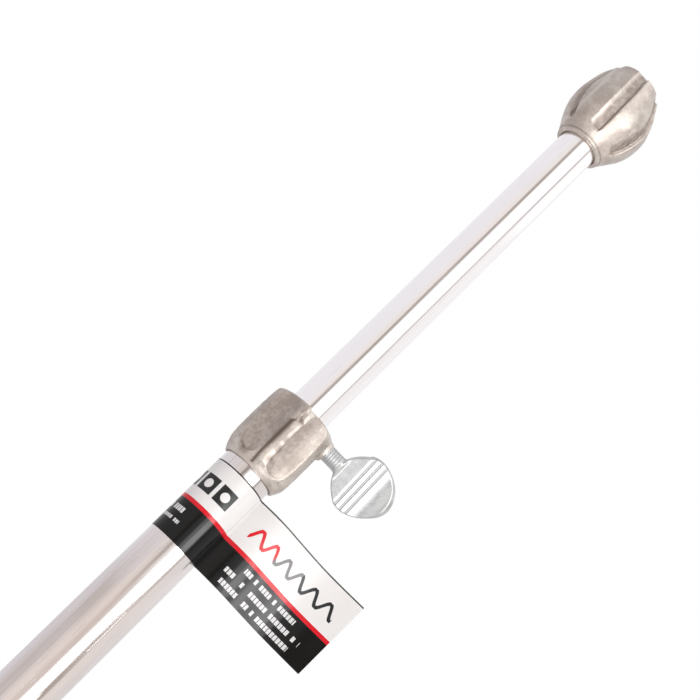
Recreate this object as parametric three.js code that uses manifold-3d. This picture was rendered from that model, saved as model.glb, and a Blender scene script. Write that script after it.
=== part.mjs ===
// A telescopic bank stick: a fishing rod support that screws into the ground.
// Millimetres, +Z up along the stick, origin on the axis where the stick leaves the ground.
// The thumb screw points along +X.

import * as THREE from 'three';
import { mergeVertices } from 'three/addons/utils/BufferGeometryUtils.js';
import Module from 'manifold-3d';

// Clearances
const RUNNING_GAP = 0.3;          // radial, between pieces that slide or turn
const SEAT_GAP = 0.3;             // between pieces that rest on each other
const OVERRUN = 2;                // how far a cutter runs past the surface it cuts

// Outer tube
const OUTER_TUBE_RADIUS = 8;
const OUTER_TUBE_WALL = 0.8;
const OUTER_TUBE_LENGTH = 370;

// Inner tube
const INNER_TUBE_RADIUS = 6.35;
const INNER_TUBE_WALL = 0.8;
const INNER_TUBE_LENGTH = 280;
const DRAWN_OUT = 118.35;           // bare inner tube between collar and head, as clamped
const TUBE_EDGE_BREAK = 0.2;

// Head casting
const HEAD_LENGTH = 29.1;
const HEAD_RADIUS = 13;
const HEAD_SOCKET_DEPTH = 15;
const HEAD_THREAD_RADIUS = 4.3;
const HEAD_THREAD_DEPTH = 12;
const HEAD_FLUTE_LEFT = 1.1;      // from a flute's middle to the left end of its floor
const HEAD_FLUTE_RIGHT = 1.6;     // and to the right end
const HEAD_FLUTE_DEPTH = 0.95;    // at the belly
const HEAD_FLUTE_TOP_DEPTH = 0.8; // at the top face
const HEAD_FLUTE_TILT_DEG = 7.6;  // how much deeper a floor lies towards its right
const HEAD_FLUTE_START = 3.3;     // height at which a flute runs out
const HEAD_FLUTE_RUN = 1.6;       // height over which it reaches its depth
const HEAD_FLUTE_LEFT_DRAFT_DEG = 64;
const HEAD_FLUTE_RIGHT_DRAFT_DEG = 27;
const HEAD_FLUTE_COUNT = 6;
const HEAD_TURN_DEG = -7.6;
// The bulb's outline from its lip to its top face, as [share of length, share of radius]
const HEAD_OUTLINE_SHARES = [
  [0.031, 0.62], [0.1, 0.7], [0.237, 0.868], [0.371, 0.97], [0.495, 1],
  [0.6, 0.984], [0.784, 0.882], [0.93, 0.744], [1, 0.677],
];
const HEAD_LIP_SHARE = 0.56;      // radius at the very bottom

// Clamp collar casting
const COLLAR_LENGTH = 22.75;
const COLLAR_SOCKET_DEPTH = 16;   // from below, over the outer tube
const COLLAR_APOTHEM = 10.7;      // from the axis to a flat
const COLLAR_CORNER_FILLET = 1;
const COLLAR_RIM_WALL = 0.6;      // at the lower rim, round the socket
const COLLAR_FLATS = 6;
// From the lower rim to the top face: [share of length, share of apothem, corner clip as a share of apothem]
const COLLAR_OUTLINE_SHARES = [
  [0.05, 0.89, 0.893], [0.1, 0.93, 0.937], [0.17, 0.965, 0.985], [0.26, 0.985, 1.035], [0.36, 1, 1.055],
  [0.6, 1, 1.06], [0.8, 0.995, 1.05], [0.9, 0.98, 1.03], [0.955, 0.965, 0.995], [0.978, 0.93, 0.95], [1, 0.84, 0.85],
];

// Screw boss on the collar
const BOSS_FACE = 11.5;           // from the stick's axis
const BOSS_FACE_RADIUS = 3.5;
const BOSS_ROOT_RADIUS = 5.2;
const SCREW_DROP = 3.45;          // screw axis below the collar's top face

// Thumb screw
const SCREW_RADIUS = 2.5;
const SCREW_TIP_CHAMFER = 0.5;
const SCREW_NECK = 16.2;          // from the stick's axis to where the shank meets the spade
const SCREW_TURN_DEG = 27;        // how far the spade stands turned about the screw, as clamped
// The spade's shoulder as [distance from the stick's axis, half width]
const SPADE_SHOULDER = [[16.2, 2.5], [16.7, 2.8], [17.4, 4.1], [18.9, 6], [21.1, 7.9], [22.6, 8.8], [24.4, 9.15]];
const SPADE_CENTRE = 24.4;        // of the disc beyond the shoulder
const SPADE_RADIUS = 9.15;
const SPADE_LEAN_DEG = 3;         // how far the spade leans out of line with the shank
const SPADE_LEAN_ABOUT = 22;      // the place it leans about, from the stick's axis
const SPADE_THICKNESS = 2.4;
const SPADE_CREASE = 21.5;        // where the thumb seat begins
const SPADE_SEAT_TILT_DEG = 8;
const SPADE_BOW_START = 28.2;
const SPADE_BOW_RADIUS = 7.2;
const SPADE_GROOVES = 3;
const SPADE_GROOVE_FIRST = 22.7;
const SPADE_GROOVE_PITCH = 1.95;
const SPADE_GROOVE_WIDTH = 0.75;
const SPADE_GROOVE_DEPTH = 0.4;

// Pressure pad at the screw's tip
const PAD_THICKNESS = 1.2;

// Foot bush in the inner tube's lower end
const BUSH_SPIGOT_LENGTH = 12;
const BUSH_FLANGE_HEIGHT = 8;
const BUSH_CHAMFER = 0.8;

// Spiral point
const POINT_LENGTH = 85;          // below the ground line
const POINT_SHOULDER = 4;
const POINT_CORE_RADIUS = 5.6;    // just below the shoulder
const POINT_TIP_RADIUS = 0.8;
const POINT_TIP_LENGTH = 4;
const POINT_PLUG_LENGTH = 25;
const POINT_PLUG_CHAMFER = 1.5;
const FLIGHT_PITCH = 20;
const FLIGHT_TURNS = 3.25;
const FLIGHT_START = 9;           // above the tip
const FLIGHT_HEIGHT = 4.2;        // how far the flight stands out of the core
const FLIGHT_ROOT_THICKNESS = 3.2;
const FLIGHT_EDGE_THICKNESS = 1.4;
const FLIGHT_ROOT_DEPTH = 0.8;    // how far its root is sunk in the core
const FLIGHT_STEPS_A_TURN = 20;

// Label
const LABEL_HEIGHT = 24.8;
const LABEL_THICKNESS = 0.4;
const LABEL_DROP = 3.1;           // bare tube between the collar and the label
const FLAG_LENGTH = 39.7;          // from the tube's side
const FLAG_THICKNESS = 0.5;
const FLAG_WAVE = 2.6;            // how far the flag strays from flat
// The flag's course as [share of its length, share of its wave], positive away from the viewer
const FLAG_COURSE_SHARES = [[0, -0.6], [0.11, -1], [0.23, -0.9], [0.36, -0.2], [0.6, 1], [0.8, 1], [1, 0.45]];

// Facets
const ROUND_SEGMENTS = 48;
const SMALL_SEGMENTS = 24;
const HEAD_STEPS = 18;
const FLUTE_STEPS = 12;
const COLLAR_SEGMENTS = 60;
const FLAG_STEPS = 20;
const SHOULDER_STEPS = 10;
const BOW_STEPS = 12;
const SPADE_END_SHARE = 0.7;      // how much of a step is left flat at the spade's end

// Heights that follow from the sizes
const outerTubeBottom = SEAT_GAP;
const outerTubeTop = outerTubeBottom + OUTER_TUBE_LENGTH;
const collarShoulder = outerTubeTop + SEAT_GAP;
const collarBottom = collarShoulder - COLLAR_SOCKET_DEPTH;
const collarTop = collarBottom + COLLAR_LENGTH;
const screwHeight = collarTop - SCREW_DROP;
const headBottom = collarTop + DRAWN_OUT;
const innerTubeTop = headBottom + HEAD_SOCKET_DEPTH - SEAT_GAP;
const innerTubeBottom = innerTubeTop - INNER_TUBE_LENGTH;
const bushFlangeTop = innerTubeBottom - SEAT_GAP;
const labelTop = collarBottom - LABEL_DROP;

// Radii that follow from the sizes
const outerTubeBore = OUTER_TUBE_RADIUS - OUTER_TUBE_WALL;
const innerTubeBore = INNER_TUBE_RADIUS - INNER_TUBE_WALL;
const slidingBore = INNER_TUBE_RADIUS + RUNNING_GAP;
const collarSocketBore = OUTER_TUBE_RADIUS + RUNNING_GAP;
const screwHoleRadius = SCREW_RADIUS + RUNNING_GAP;
const padInnerFace = INNER_TUBE_RADIUS + SEAT_GAP;
const screwTip = padInnerFace + PAD_THICKNESS + SEAT_GAP;

const radians = THREE.MathUtils.degToRad;
const { lerp, smoothstep } = THREE.MathUtils;

// Solids: manifold-3d joins and cuts them
const wasm = await Module();
wasm.setup();

function solidOf(geometry) {
  const bare = geometry.clone();
  bare.deleteAttribute('normal');
  bare.deleteAttribute('uv');
  const merged = mergeVertices(bare);
  return new wasm.Manifold(new wasm.Mesh({
    numProp: 3,
    vertProperties: new Float32Array(merged.attributes.position.array),
    triVerts: new Uint32Array(merged.index.array),
  }));
}

function geometryOf(solid) {
  const mesh = solid.getMesh();
  const geometry = new THREE.BufferGeometry();
  geometry.setAttribute('position', new THREE.BufferAttribute(new Float32Array(mesh.vertProperties), 3));
  geometry.setIndex(new THREE.BufferAttribute(new Uint32Array(mesh.triVerts), 1));
  geometry.computeVertexNormals();
  return geometry;
}

// A profile of [radius, height] points turned about Z
function turned(profile, segments = ROUND_SEGMENTS) {
  const points = profile.map(([radius, height]) => new THREE.Vector2(radius, height));
  return new THREE.LatheGeometry(points, segments).rotateX(Math.PI / 2);
}

// The same, with its axis along X and its heights measured along +X
function turnedAlongX(profile, segments = SMALL_SEGMENTS) {
  return turned(profile, segments).rotateY(Math.PI / 2);
}

// A closed skin over rings of equally many points, counter-clockwise seen from above, lowest ring first
function lofted(rings) {
  const around = rings[0].length;
  const vertices = rings.flat();
  const low = vertices.push(centreOf(rings[0])) - 1;
  const high = vertices.push(centreOf(rings[rings.length - 1])) - 1;
  const last = (rings.length - 1) * around;
  const faces = [];
  for (let i = 0; i < around; i += 1) {
    const next = (i + 1) % around;
    for (let start = 0; start < last; start += around) {
      faces.push(start + i, start + next, start + around + next);
      faces.push(start + i, start + around + next, start + around + i);
    }
    faces.push(low, next, i);
    faces.push(high, last + i, last + next);
  }
  const geometry = new THREE.BufferGeometry().setFromPoints(vertices);
  geometry.setIndex(faces);
  geometry.computeVertexNormals();
  return geometry;
}

function centreOf(ring) {
  const sum = ring.reduce((total, point) => total.add(point), new THREE.Vector3());
  return sum.divideScalar(ring.length);
}

// A straight pipe with its outer and inner edges broken
function pipe(radius, bore, bottom, top) {
  const edge = TUBE_EDGE_BREAK;
  return turned([
    [bore, bottom + edge], [bore + edge, bottom], [radius - edge, bottom], [radius, bottom + edge],
    [radius, top - edge], [radius - edge, top], [bore + edge, top], [bore, top - edge], [bore, bottom + edge],
  ]);
}

// Head: a bulb with flutes that run out above its lip
function headRadiusAt(height) {
  const curve = headOutline.getPoints(HEAD_STEPS * HEAD_FLUTE_COUNT);
  const above = curve.findIndex((point) => point.y >= height);
  if (above < 1) return curve[above === 0 ? 0 : curve.length - 1].x;
  const [from, to] = [curve[above - 1], curve[above]];
  return lerp(from.x, to.x, (height - from.y) / (to.y - from.y));
}

const headOutline = new THREE.SplineCurve(HEAD_OUTLINE_SHARES.map(
  ([heightShare, radiusShare]) => new THREE.Vector2(HEAD_RADIUS * radiusShare, HEAD_LENGTH * heightShare),
));

function fluteDepthAt(height) {
  const belly = smoothstep(height, HEAD_FLUTE_START, HEAD_FLUTE_START + HEAD_FLUTE_RUN);
  const top = smoothstep(height, HEAD_LENGTH / 2, HEAD_LENGTH);
  return belly * lerp(HEAD_FLUTE_DEPTH, HEAD_FLUTE_TOP_DEPTH, top);
}

// The cutter of one flute: a floor that follows the bulb, and two walls with draft
function fluteCutter(angle) {
  const out = new THREE.Vector3(Math.cos(angle), Math.sin(angle), 0);
  const side = new THREE.Vector3(-Math.sin(angle), Math.cos(angle), 0);
  const reach = HEAD_RADIUS + OVERRUN;
  const rings = [];
  for (let step = 0; step <= FLUTE_STEPS; step += 1) {
    const height = lerp(HEAD_FLUTE_START, HEAD_LENGTH + OVERRUN, step / FLUTE_STEPS);
    const onHead = Math.min(height, HEAD_LENGTH);
    const floor = headRadiusAt(onHead) - fluteDepthAt(onHead);
    const slope = Math.tan(radians(HEAD_FLUTE_TILT_DEG));
    const [floorLeft, floorRight] = [floor + HEAD_FLUTE_LEFT * slope, floor - HEAD_FLUTE_RIGHT * slope];
    const left = HEAD_FLUTE_LEFT + (reach - floorLeft) * Math.tan(radians(HEAD_FLUTE_LEFT_DRAFT_DEG));
    const right = HEAD_FLUTE_RIGHT + (reach - floorRight) * Math.tan(radians(HEAD_FLUTE_RIGHT_DRAFT_DEG));
    const place = (radius, across) => out.clone().multiplyScalar(radius).addScaledVector(side, across).setZ(height);
    rings.push([
      place(floorLeft, -HEAD_FLUTE_LEFT), place(reach, -left), place(reach, right),
      place(floorRight, HEAD_FLUTE_RIGHT),
    ]);
  }
  return solidOf(lofted(rings));
}

function makeHead() {
  const outline = headOutline.getPoints(HEAD_STEPS).map((point) => [point.x, point.y]);
  const bulb = turned([[0, 0], [HEAD_RADIUS * HEAD_LIP_SHARE, 0], ...outline, [0, HEAD_LENGTH]]);
  const socket = turned([
    [0, -OVERRUN], [slidingBore, -OVERRUN], [slidingBore, HEAD_SOCKET_DEPTH], [0, HEAD_SOCKET_DEPTH],
  ]);
  const threadFloor = HEAD_LENGTH - HEAD_THREAD_DEPTH;
  const threadHole = turned([
    [0, threadFloor], [HEAD_THREAD_RADIUS, threadFloor],
    [HEAD_THREAD_RADIUS, HEAD_LENGTH + OVERRUN], [0, HEAD_LENGTH + OVERRUN],
  ], SMALL_SEGMENTS);
  let solid = solidOf(bulb).subtract(solidOf(socket)).subtract(solidOf(threadHole));
  for (let flute = 0; flute < HEAD_FLUTE_COUNT; flute += 1) {
    const angle = radians(HEAD_TURN_DEG) - Math.PI / 2 + (flute / HEAD_FLUTE_COUNT) * Math.PI * 2;
    solid = solid.subtract(fluteCutter(angle));
  }
  return geometryOf(solid).translate(0, 0, headBottom);
}

// Collar: six flats with filleted corners, clipped round towards both ends
function collarRadiusAt(angle, apothem, clip) {
  const sector = (Math.PI * 2) / COLLAR_FLATS;
  const fromFlat = angle - Math.round(angle / sector) * sector;
  const filletCentre = (apothem - COLLAR_CORNER_FILLET) / Math.cos(sector / 2);
  const flatHalf = (apothem - COLLAR_CORNER_FILLET) * Math.tan(sector / 2);
  if (apothem * Math.tan(Math.abs(fromFlat)) <= flatHalf) return Math.min(apothem / Math.cos(fromFlat), clip);
  const fromCorner = sector / 2 - Math.abs(fromFlat);
  const across = filletCentre * Math.sin(fromCorner);
  const along = filletCentre * Math.cos(fromCorner);
  return Math.min(along + Math.sqrt(COLLAR_CORNER_FILLET ** 2 - across ** 2), clip);
}

function collarRing(height, apothem, clip) {
  return Array.from({ length: COLLAR_SEGMENTS }, (_, index) => {
    const angle = (index / COLLAR_SEGMENTS) * Math.PI * 2;
    const radius = collarRadiusAt(angle, apothem, clip);
    return new THREE.Vector3(radius * Math.cos(angle), radius * Math.sin(angle), height);
  });
}

function makeCollar() {
  const rimRadius = collarSocketBore + COLLAR_RIM_WALL;
  const rings = COLLAR_OUTLINE_SHARES.map(([heightShare, apothemShare, clipShare]) => collarRing(
    COLLAR_LENGTH * heightShare,
    Math.max(COLLAR_APOTHEM * apothemShare, rimRadius),
    Math.max(COLLAR_APOTHEM * clipShare, rimRadius),
  ));
  const body = solidOf(lofted([collarRing(0, rimRadius, rimRadius), ...rings]));
  const socket = turned([
    [0, -OVERRUN], [collarSocketBore, -OVERRUN], [collarSocketBore, COLLAR_SOCKET_DEPTH], [0, COLLAR_SOCKET_DEPTH],
  ]);
  const bore = turned([
    [0, -OVERRUN], [slidingBore, -OVERRUN],
    [slidingBore, COLLAR_LENGTH + OVERRUN], [0, COLLAR_LENGTH + OVERRUN],
  ]);
  const boss = turnedAlongX([
    [0, slidingBore], [BOSS_ROOT_RADIUS, slidingBore],
    [BOSS_ROOT_RADIUS, COLLAR_APOTHEM - SEAT_GAP], [BOSS_FACE_RADIUS, BOSS_FACE], [0, BOSS_FACE],
  ]).translate(0, 0, COLLAR_LENGTH - SCREW_DROP);
  const bossInBody = solidOf(boss).intersect(solidOf(turned([
    [0, 0], [BOSS_FACE + OVERRUN, 0], [BOSS_FACE + OVERRUN, COLLAR_LENGTH], [0, COLLAR_LENGTH],
  ])));
  const screwHole = turnedAlongX([
    [0, 0], [screwHoleRadius, 0], [screwHoleRadius, BOSS_FACE + OVERRUN], [0, BOSS_FACE + OVERRUN],
  ]).translate(0, 0, COLLAR_LENGTH - SCREW_DROP);
  const solid = body.add(bossInBody).subtract(solidOf(socket)).subtract(solidOf(bore)).subtract(solidOf(screwHole));
  return geometryOf(solid).translate(0, 0, collarBottom);
}

// Thumb screw: seen from the side, the spade's front face has a seat tilted back for the thumb and a bowed end
function spadeFrontAt(x) {
  const tilt = radians(SPADE_SEAT_TILT_DEG);
  const root = -SPADE_THICKNESS / 2;
  const seatRise = (Math.min(x, SPADE_BOW_START) - SPADE_CREASE) * Math.tan(tilt);
  if (x <= SPADE_BOW_START) return root + Math.max(seatRise, 0);
  const bowDrop = Math.cos(tilt) - Math.cos(spadeTiltAt(x));
  return root + seatRise - SPADE_BOW_RADIUS * bowDrop;
}

function spadeTiltAt(x) {
  const tilt = radians(SPADE_SEAT_TILT_DEG);
  if (x <= SPADE_CREASE) return 0;
  if (x <= SPADE_BOW_START) return tilt;
  return -Math.asin((x - SPADE_BOW_START) / SPADE_BOW_RADIUS - Math.sin(tilt));
}

function spadeHalfWidthAt(x) {
  if (x >= SPADE_CENTRE) return Math.sqrt(Math.max(SPADE_RADIUS ** 2 - (x - SPADE_CENTRE) ** 2, 0));
  const above = spadeShoulder.findIndex((point) => point.x > x);
  const [from, to] = [spadeShoulder[above - 1], spadeShoulder[above]];
  return lerp(from.y, to.y, (x - from.x) / (to.x - from.x));
}

const spadeShoulder = new THREE.SplineCurve(
  SPADE_SHOULDER.map(([x, half]) => new THREE.Vector2(x, half)),
).getPoints(SHOULDER_STEPS * SPADE_SHOULDER.length);

// Stations along the spade as [distance from the stick's axis, how far both faces are sunk]
function spadeStations() {
  const stations = [];
  for (let step = 0; step <= SHOULDER_STEPS; step += 1) {
    stations.push([lerp(SCREW_NECK, SPADE_CREASE, step / SHOULDER_STEPS), 0]);
  }
  for (let groove = 0; groove < SPADE_GROOVES; groove += 1) {
    const left = SPADE_GROOVE_FIRST + groove * SPADE_GROOVE_PITCH - SPADE_GROOVE_WIDTH / 2;
    const right = left + SPADE_GROOVE_WIDTH;
    const slope = SPADE_GROOVE_WIDTH / 4;
    stations.push([left, 0], [left + slope, SPADE_GROOVE_DEPTH], [right - slope, SPADE_GROOVE_DEPTH], [right, 0]);
  }
  const from = Math.asin((SPADE_BOW_START - SPADE_CENTRE) / SPADE_RADIUS);
  for (let step = 0; step <= BOW_STEPS; step += 1) {
    const turn = lerp(from, Math.PI / 2, step / (BOW_STEPS + SPADE_END_SHARE));
    stations.push([SPADE_CENTRE + SPADE_RADIUS * Math.sin(turn), 0]);
  }
  return stations;
}

function spadeRing([x, sunk]) {
  const tilt = spadeTiltAt(x);
  const half = spadeHalfWidthAt(x);
  const place = (depth, z) => new THREE.Vector3(
    x - depth * Math.sin(tilt), spadeFrontAt(x) + depth * Math.cos(tilt), z,
  );
  const [front, back] = [sunk, SPADE_THICKNESS - sunk];
  return [place(front, -half), place(back, -half), place(back, half), place(front, half)];
}

// The shank joined to the spade, turned about the screw's axis as clamped
function makeThumbScrew() {
  const plate = lofted(spadeStations().map(spadeRing)).translate(-SPADE_LEAN_ABOUT, 0, 0);
  const spade = solidOf(plate.rotateY(-radians(SPADE_LEAN_DEG)).translate(SPADE_LEAN_ABOUT, 0, 0));
  const shank = solidOf(turnedAlongX([
    [0, screwTip], [SCREW_RADIUS - SCREW_TIP_CHAMFER, screwTip], [SCREW_RADIUS, screwTip + SCREW_TIP_CHAMFER],
    [SCREW_RADIUS, SCREW_NECK], [SPADE_THICKNESS / 2, SCREW_NECK + SCREW_RADIUS * 2],
    [0, SCREW_NECK + SCREW_RADIUS * 2],
  ]));
  return geometryOf(shank.add(spade)).rotateX(radians(SCREW_TURN_DEG)).translate(0, 0, screwHeight);
}

function makePressurePad() {
  return turnedAlongX([
    [0, padInnerFace], [SCREW_RADIUS, padInnerFace],
    [SCREW_RADIUS, padInnerFace + PAD_THICKNESS], [0, padInnerFace + PAD_THICKNESS],
  ]).translate(0, 0, screwHeight);
}

// Foot bush: a spigot up the inner tube's bore and a flange that rides in the outer tube
function makeFootBush() {
  const flange = outerTubeBore - RUNNING_GAP;
  const spigot = innerTubeBore - RUNNING_GAP;
  const bottom = bushFlangeTop - BUSH_FLANGE_HEIGHT;
  const top = bushFlangeTop + BUSH_SPIGOT_LENGTH;
  return turned([
    [0, bottom], [flange - BUSH_CHAMFER, bottom], [flange, bottom + BUSH_CHAMFER], [flange, bushFlangeTop],
    [spigot, bushFlangeTop], [spigot, top - BUSH_CHAMFER], [spigot - BUSH_CHAMFER, top], [0, top],
  ]);
}

// Spiral point: a tapered core with a plug for the tube, and a flight wound round it
function pointCoreRadiusAt(height) {
  const tipTop = POINT_TIP_LENGTH - POINT_LENGTH;
  const share = (height - tipTop) / (-POINT_SHOULDER - tipTop);
  return lerp(POINT_TIP_RADIUS * 2, POINT_CORE_RADIUS, Math.min(Math.max(share, 0), 1));
}

function makeFlight() {
  const steps = Math.round(FLIGHT_TURNS * FLIGHT_STEPS_A_TURN);
  const rings = [];
  for (let step = 0; step <= steps; step += 1) {
    const turns = (step / steps) * FLIGHT_TURNS;
    const height = FLIGHT_START - POINT_LENGTH + turns * FLIGHT_PITCH;
    const risen = smoothstep(turns, 0, FLIGHT_TURNS / 3) * (1 - smoothstep(turns, FLIGHT_TURNS * 0.88, FLIGHT_TURNS));
    const root = Math.max(pointCoreRadiusAt(height) - FLIGHT_ROOT_DEPTH, POINT_TIP_RADIUS / 2);
    const edge = root + (FLIGHT_ROOT_DEPTH + FLIGHT_HEIGHT) * Math.max(risen, 0.08);
    const angle = turns * Math.PI * 2;
    const place = (radius, lift) => new THREE.Vector3(
      radius * Math.cos(angle), radius * Math.sin(angle), height + lift,
    );
    rings.push([
      place(root, -FLIGHT_ROOT_THICKNESS / 2), place(root, FLIGHT_ROOT_THICKNESS / 2),
      place(edge, FLIGHT_EDGE_THICKNESS / 2), place(edge, -FLIGHT_EDGE_THICKNESS / 2),
    ]);
  }
  return solidOf(lofted(rings));
}

function makeSpiralPoint() {
  const plug = outerTubeBore - RUNNING_GAP;
  const shoulder = -POINT_SHOULDER;
  const tipTop = POINT_TIP_LENGTH - POINT_LENGTH;
  const core = turned([
    [0, -POINT_LENGTH], [POINT_TIP_RADIUS, -POINT_LENGTH], [pointCoreRadiusAt(tipTop), tipTop],
    [pointCoreRadiusAt(shoulder), shoulder], [OUTER_TUBE_RADIUS, shoulder], [OUTER_TUBE_RADIUS, 0], [plug, 0],
    [plug, POINT_PLUG_LENGTH - POINT_PLUG_CHAMFER], [plug - POINT_PLUG_CHAMFER, POINT_PLUG_LENGTH],
    [0, POINT_PLUG_LENGTH],
  ]);
  return geometryOf(solidOf(core).add(makeFlight()));
}

// Label: a band round the outer tube whose ends are stuck together as a flag
function makeLabel() {
  const inner = OUTER_TUBE_RADIUS + RUNNING_GAP;
  const outer = inner + LABEL_THICKNESS;
  const course = new THREE.SplineCurve(FLAG_COURSE_SHARES.map(
    ([lengthShare, waveShare]) => new THREE.Vector2(outer + FLAG_LENGTH * lengthShare, FLAG_WAVE * waveShare),
  )).getPoints(FLAG_STEPS);
  const face = (side) => course.map((point) => new THREE.Vector2(point.x, point.y + side * FLAG_THICKNESS / 2));
  const rootAngle = (side) => Math.asin((course[0].y + side * FLAG_THICKNESS / 2) / outer);
  const outline = new THREE.Shape();
  outline.absarc(0, 0, outer, rootAngle(1), rootAngle(-1) + Math.PI * 2, false);
  face(-1).slice(1).forEach((point) => outline.lineTo(point.x, point.y));
  face(1).slice(1).reverse().forEach((point) => outline.lineTo(point.x, point.y));
  outline.holes.push(new THREE.Path().absarc(0, 0, inner, 0, Math.PI * 2, false));
  return new THREE.ExtrudeGeometry(outline, {
    depth: LABEL_HEIGHT, bevelEnabled: false, curveSegments: ROUND_SEGMENTS,
  }).translate(0, 0, labelTop - LABEL_HEIGHT);
}

// Materials
const brightAluminium = new THREE.MeshStandardMaterial({ color: 0xd9d7d8, roughness: 0.28, metalness: 1 });
const castMetal = new THREE.MeshStandardMaterial({ color: 0xa8a29c, roughness: 0.45, metalness: 1 });
const zincPlate = new THREE.MeshStandardMaterial({ color: 0xc9ced2, roughness: 0.25, metalness: 1 });
const nylon = new THREE.MeshStandardMaterial({ color: 0x26262a, roughness: 0.55, metalness: 0 });
const padNylon = new THREE.MeshStandardMaterial({ color: 0xe6e4dc, roughness: 0.5, metalness: 0 });
const vinyl = new THREE.MeshStandardMaterial({ color: 0xf4f4f4, roughness: 0.35, metalness: 0 });

function named(name, geometry, material) {
  const mesh = new THREE.Mesh(geometry, material);
  mesh.name = name;
  return mesh;
}

const outerTube = pipe(OUTER_TUBE_RADIUS, outerTubeBore, outerTubeBottom, outerTubeTop);
const innerTube = pipe(INNER_TUBE_RADIUS, innerTubeBore, innerTubeBottom, innerTubeTop);

const bankStick = new THREE.Group();
bankStick.add(
  named('spiral_point', makeSpiralPoint(), castMetal),
  named('outer_tube', outerTube, brightAluminium),
  named('clamp_collar', makeCollar(), castMetal),
  named('label', makeLabel(), vinyl),
  named('pressure_pad', makePressurePad(), padNylon),
  named('thumb_screw', makeThumbScrew(), zincPlate),
  named('foot_bush', makeFootBush(), nylon),
  named('inner_tube', innerTube, brightAluminium),
  named('head', makeHead(), castMetal),
);

export default bankStick;
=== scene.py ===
"""A telescopic bank stick in a plain studio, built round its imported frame.

Lengths are in millimetres and turned into metres where a mesh is made. +Z runs up the stick, +X along the
thumb screw, and the camera looks roughly along +Y.
"""

from math import asin, atan2, cos, hypot, pi, radians, sin, sqrt, tan

import bmesh
import bpy
import numpy as np
from mathutils import Matrix, Vector, noise


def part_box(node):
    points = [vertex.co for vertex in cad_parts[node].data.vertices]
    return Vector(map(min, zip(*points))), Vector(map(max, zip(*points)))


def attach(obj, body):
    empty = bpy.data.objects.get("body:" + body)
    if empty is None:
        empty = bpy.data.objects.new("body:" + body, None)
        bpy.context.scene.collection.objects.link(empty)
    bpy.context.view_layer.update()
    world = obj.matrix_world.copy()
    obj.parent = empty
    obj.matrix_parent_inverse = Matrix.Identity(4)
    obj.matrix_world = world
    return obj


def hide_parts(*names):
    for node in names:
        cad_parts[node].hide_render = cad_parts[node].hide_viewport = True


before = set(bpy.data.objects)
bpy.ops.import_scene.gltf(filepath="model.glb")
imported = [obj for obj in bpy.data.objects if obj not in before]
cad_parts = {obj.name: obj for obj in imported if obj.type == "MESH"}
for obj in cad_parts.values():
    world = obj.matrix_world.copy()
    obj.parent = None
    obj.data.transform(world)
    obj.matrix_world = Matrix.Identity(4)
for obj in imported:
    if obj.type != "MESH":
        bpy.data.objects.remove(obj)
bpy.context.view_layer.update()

MM = 0.001
FRONT = -pi / 2


def node_span(node):
    """Lowest and highest corner of a CAD node, in millimetres."""
    low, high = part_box(node)
    return Vector(low) / MM, Vector(high) / MM


# Tubes
OUTER_LOW, OUTER_HIGH = node_span("outer_tube")
INNER_LOW, INNER_HIGH = node_span("inner_tube")
OUTER_RADIUS = OUTER_HIGH.x
INNER_RADIUS = INNER_HIGH.x
TUBE_WALL = 0.8
TUBE_EDGE_RADIUS = 0.25
TUBE_COLUMNS = 128
TUBE_RING_STEP = 10.0
CORNER_POINTS = 6
SOCKET_GAP = 0.06  # round a tube in the casting pressed on it
BORE_GAP = 0.12  # round the sliding tube
BUSH_GAP = 0.12
POINT_GAP = 0.1

# Head casting
HEAD_LOW, HEAD_HIGH = node_span("head")
HEAD_BOTTOM = HEAD_LOW.z
HEAD_LENGTH = HEAD_HIGH.z - HEAD_LOW.z
HEAD_RADIUS = 13.0
HEAD_OUTLINE_SHARES = [
    (0.031, 0.62), (0.1, 0.7), (0.237, 0.868), (0.371, 0.97), (0.495, 1.0),
    (0.6, 0.984), (0.784, 0.882), (0.93, 0.744), (1.0, 0.677),
]
HEAD_LIP_SHARE = 0.54
HEAD_SOCKET_DEPTH = 15.0
HEAD_SHIFT = 0.3  # how far the belly lies off the socket's axis
HEAD_TOP_SHIFT = -0.45
HEAD_WORN = 0.8
HEAD_TOP_TILT = 0.04  # fall of the top face towards the right
LIP_LINE_HEIGHT = 1.0
LIP_LINE_HALF = 0.45
LIP_LINE_DEPTH = 0.03
# Painted shadow along the fine line round the lip
LIP_LINE_SHADE = 0.3
CORE_STEPS = [(7.5, 7.85), (8.6, 8.95)]  # fine steps in the front and back where the side cores met the die
CORE_STEP_HEIGHT = 0.07
# A straight band in x on the head's left side, painted brighter as a highlight
PAINTED_HIGHLIGHT_STRIPE = (-9.9, -9.4, -8.9, -8.4)
# Painted shade in the pits, and the depths over which it comes in
PIT_SHADE = 0.7
PIT_SHADE_FROM = (0.05, 0.4)
PIT_DULL = (0.0, 0.2)  # depths over which a pit loses its shine
PIT_RAGGED = (0.35, 2)  # amount and scale of their uneven edges
PIT_FLOOR_SHARE = 0.35
HOLLOW_FROM = (0.3, 0.8)  # depths between which the skin turns rough
FLUTE_SHADE = 0.3  # painted shade on the flutes' floors
FLUTE_SHADE_FROM = (-1.4, -0.9)
HEAD_BORE = INNER_RADIUS + SOCKET_GAP
HEAD_TOP_EDGE = 0.45
HEAD_TOP_TAPER = 0.35
LIP_ROUGHNESS = 0.8
TOP_EDGE_ROUGHNESS = 0.7
TOP_WORN = 0.5
HEAD_TURN = radians(-7.6)
FLUTE_COUNT = 6
FLUTE_LEFT = 1.1
FLUTE_RIGHT = 1.6
FLUTE_DEPTH = 0.95
FLUTE_TOP_DEPTH = 0.8
FLUTE_TILT = radians(7.6)
FLUTE_START = 3.3
FLUTE_RUN = 1.6
FLUTE_LEFT_DRAFTS = [64, 68, 64, 64, 64, 64]
FLUTE_RIGHT_DRAFT = 27
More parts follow.
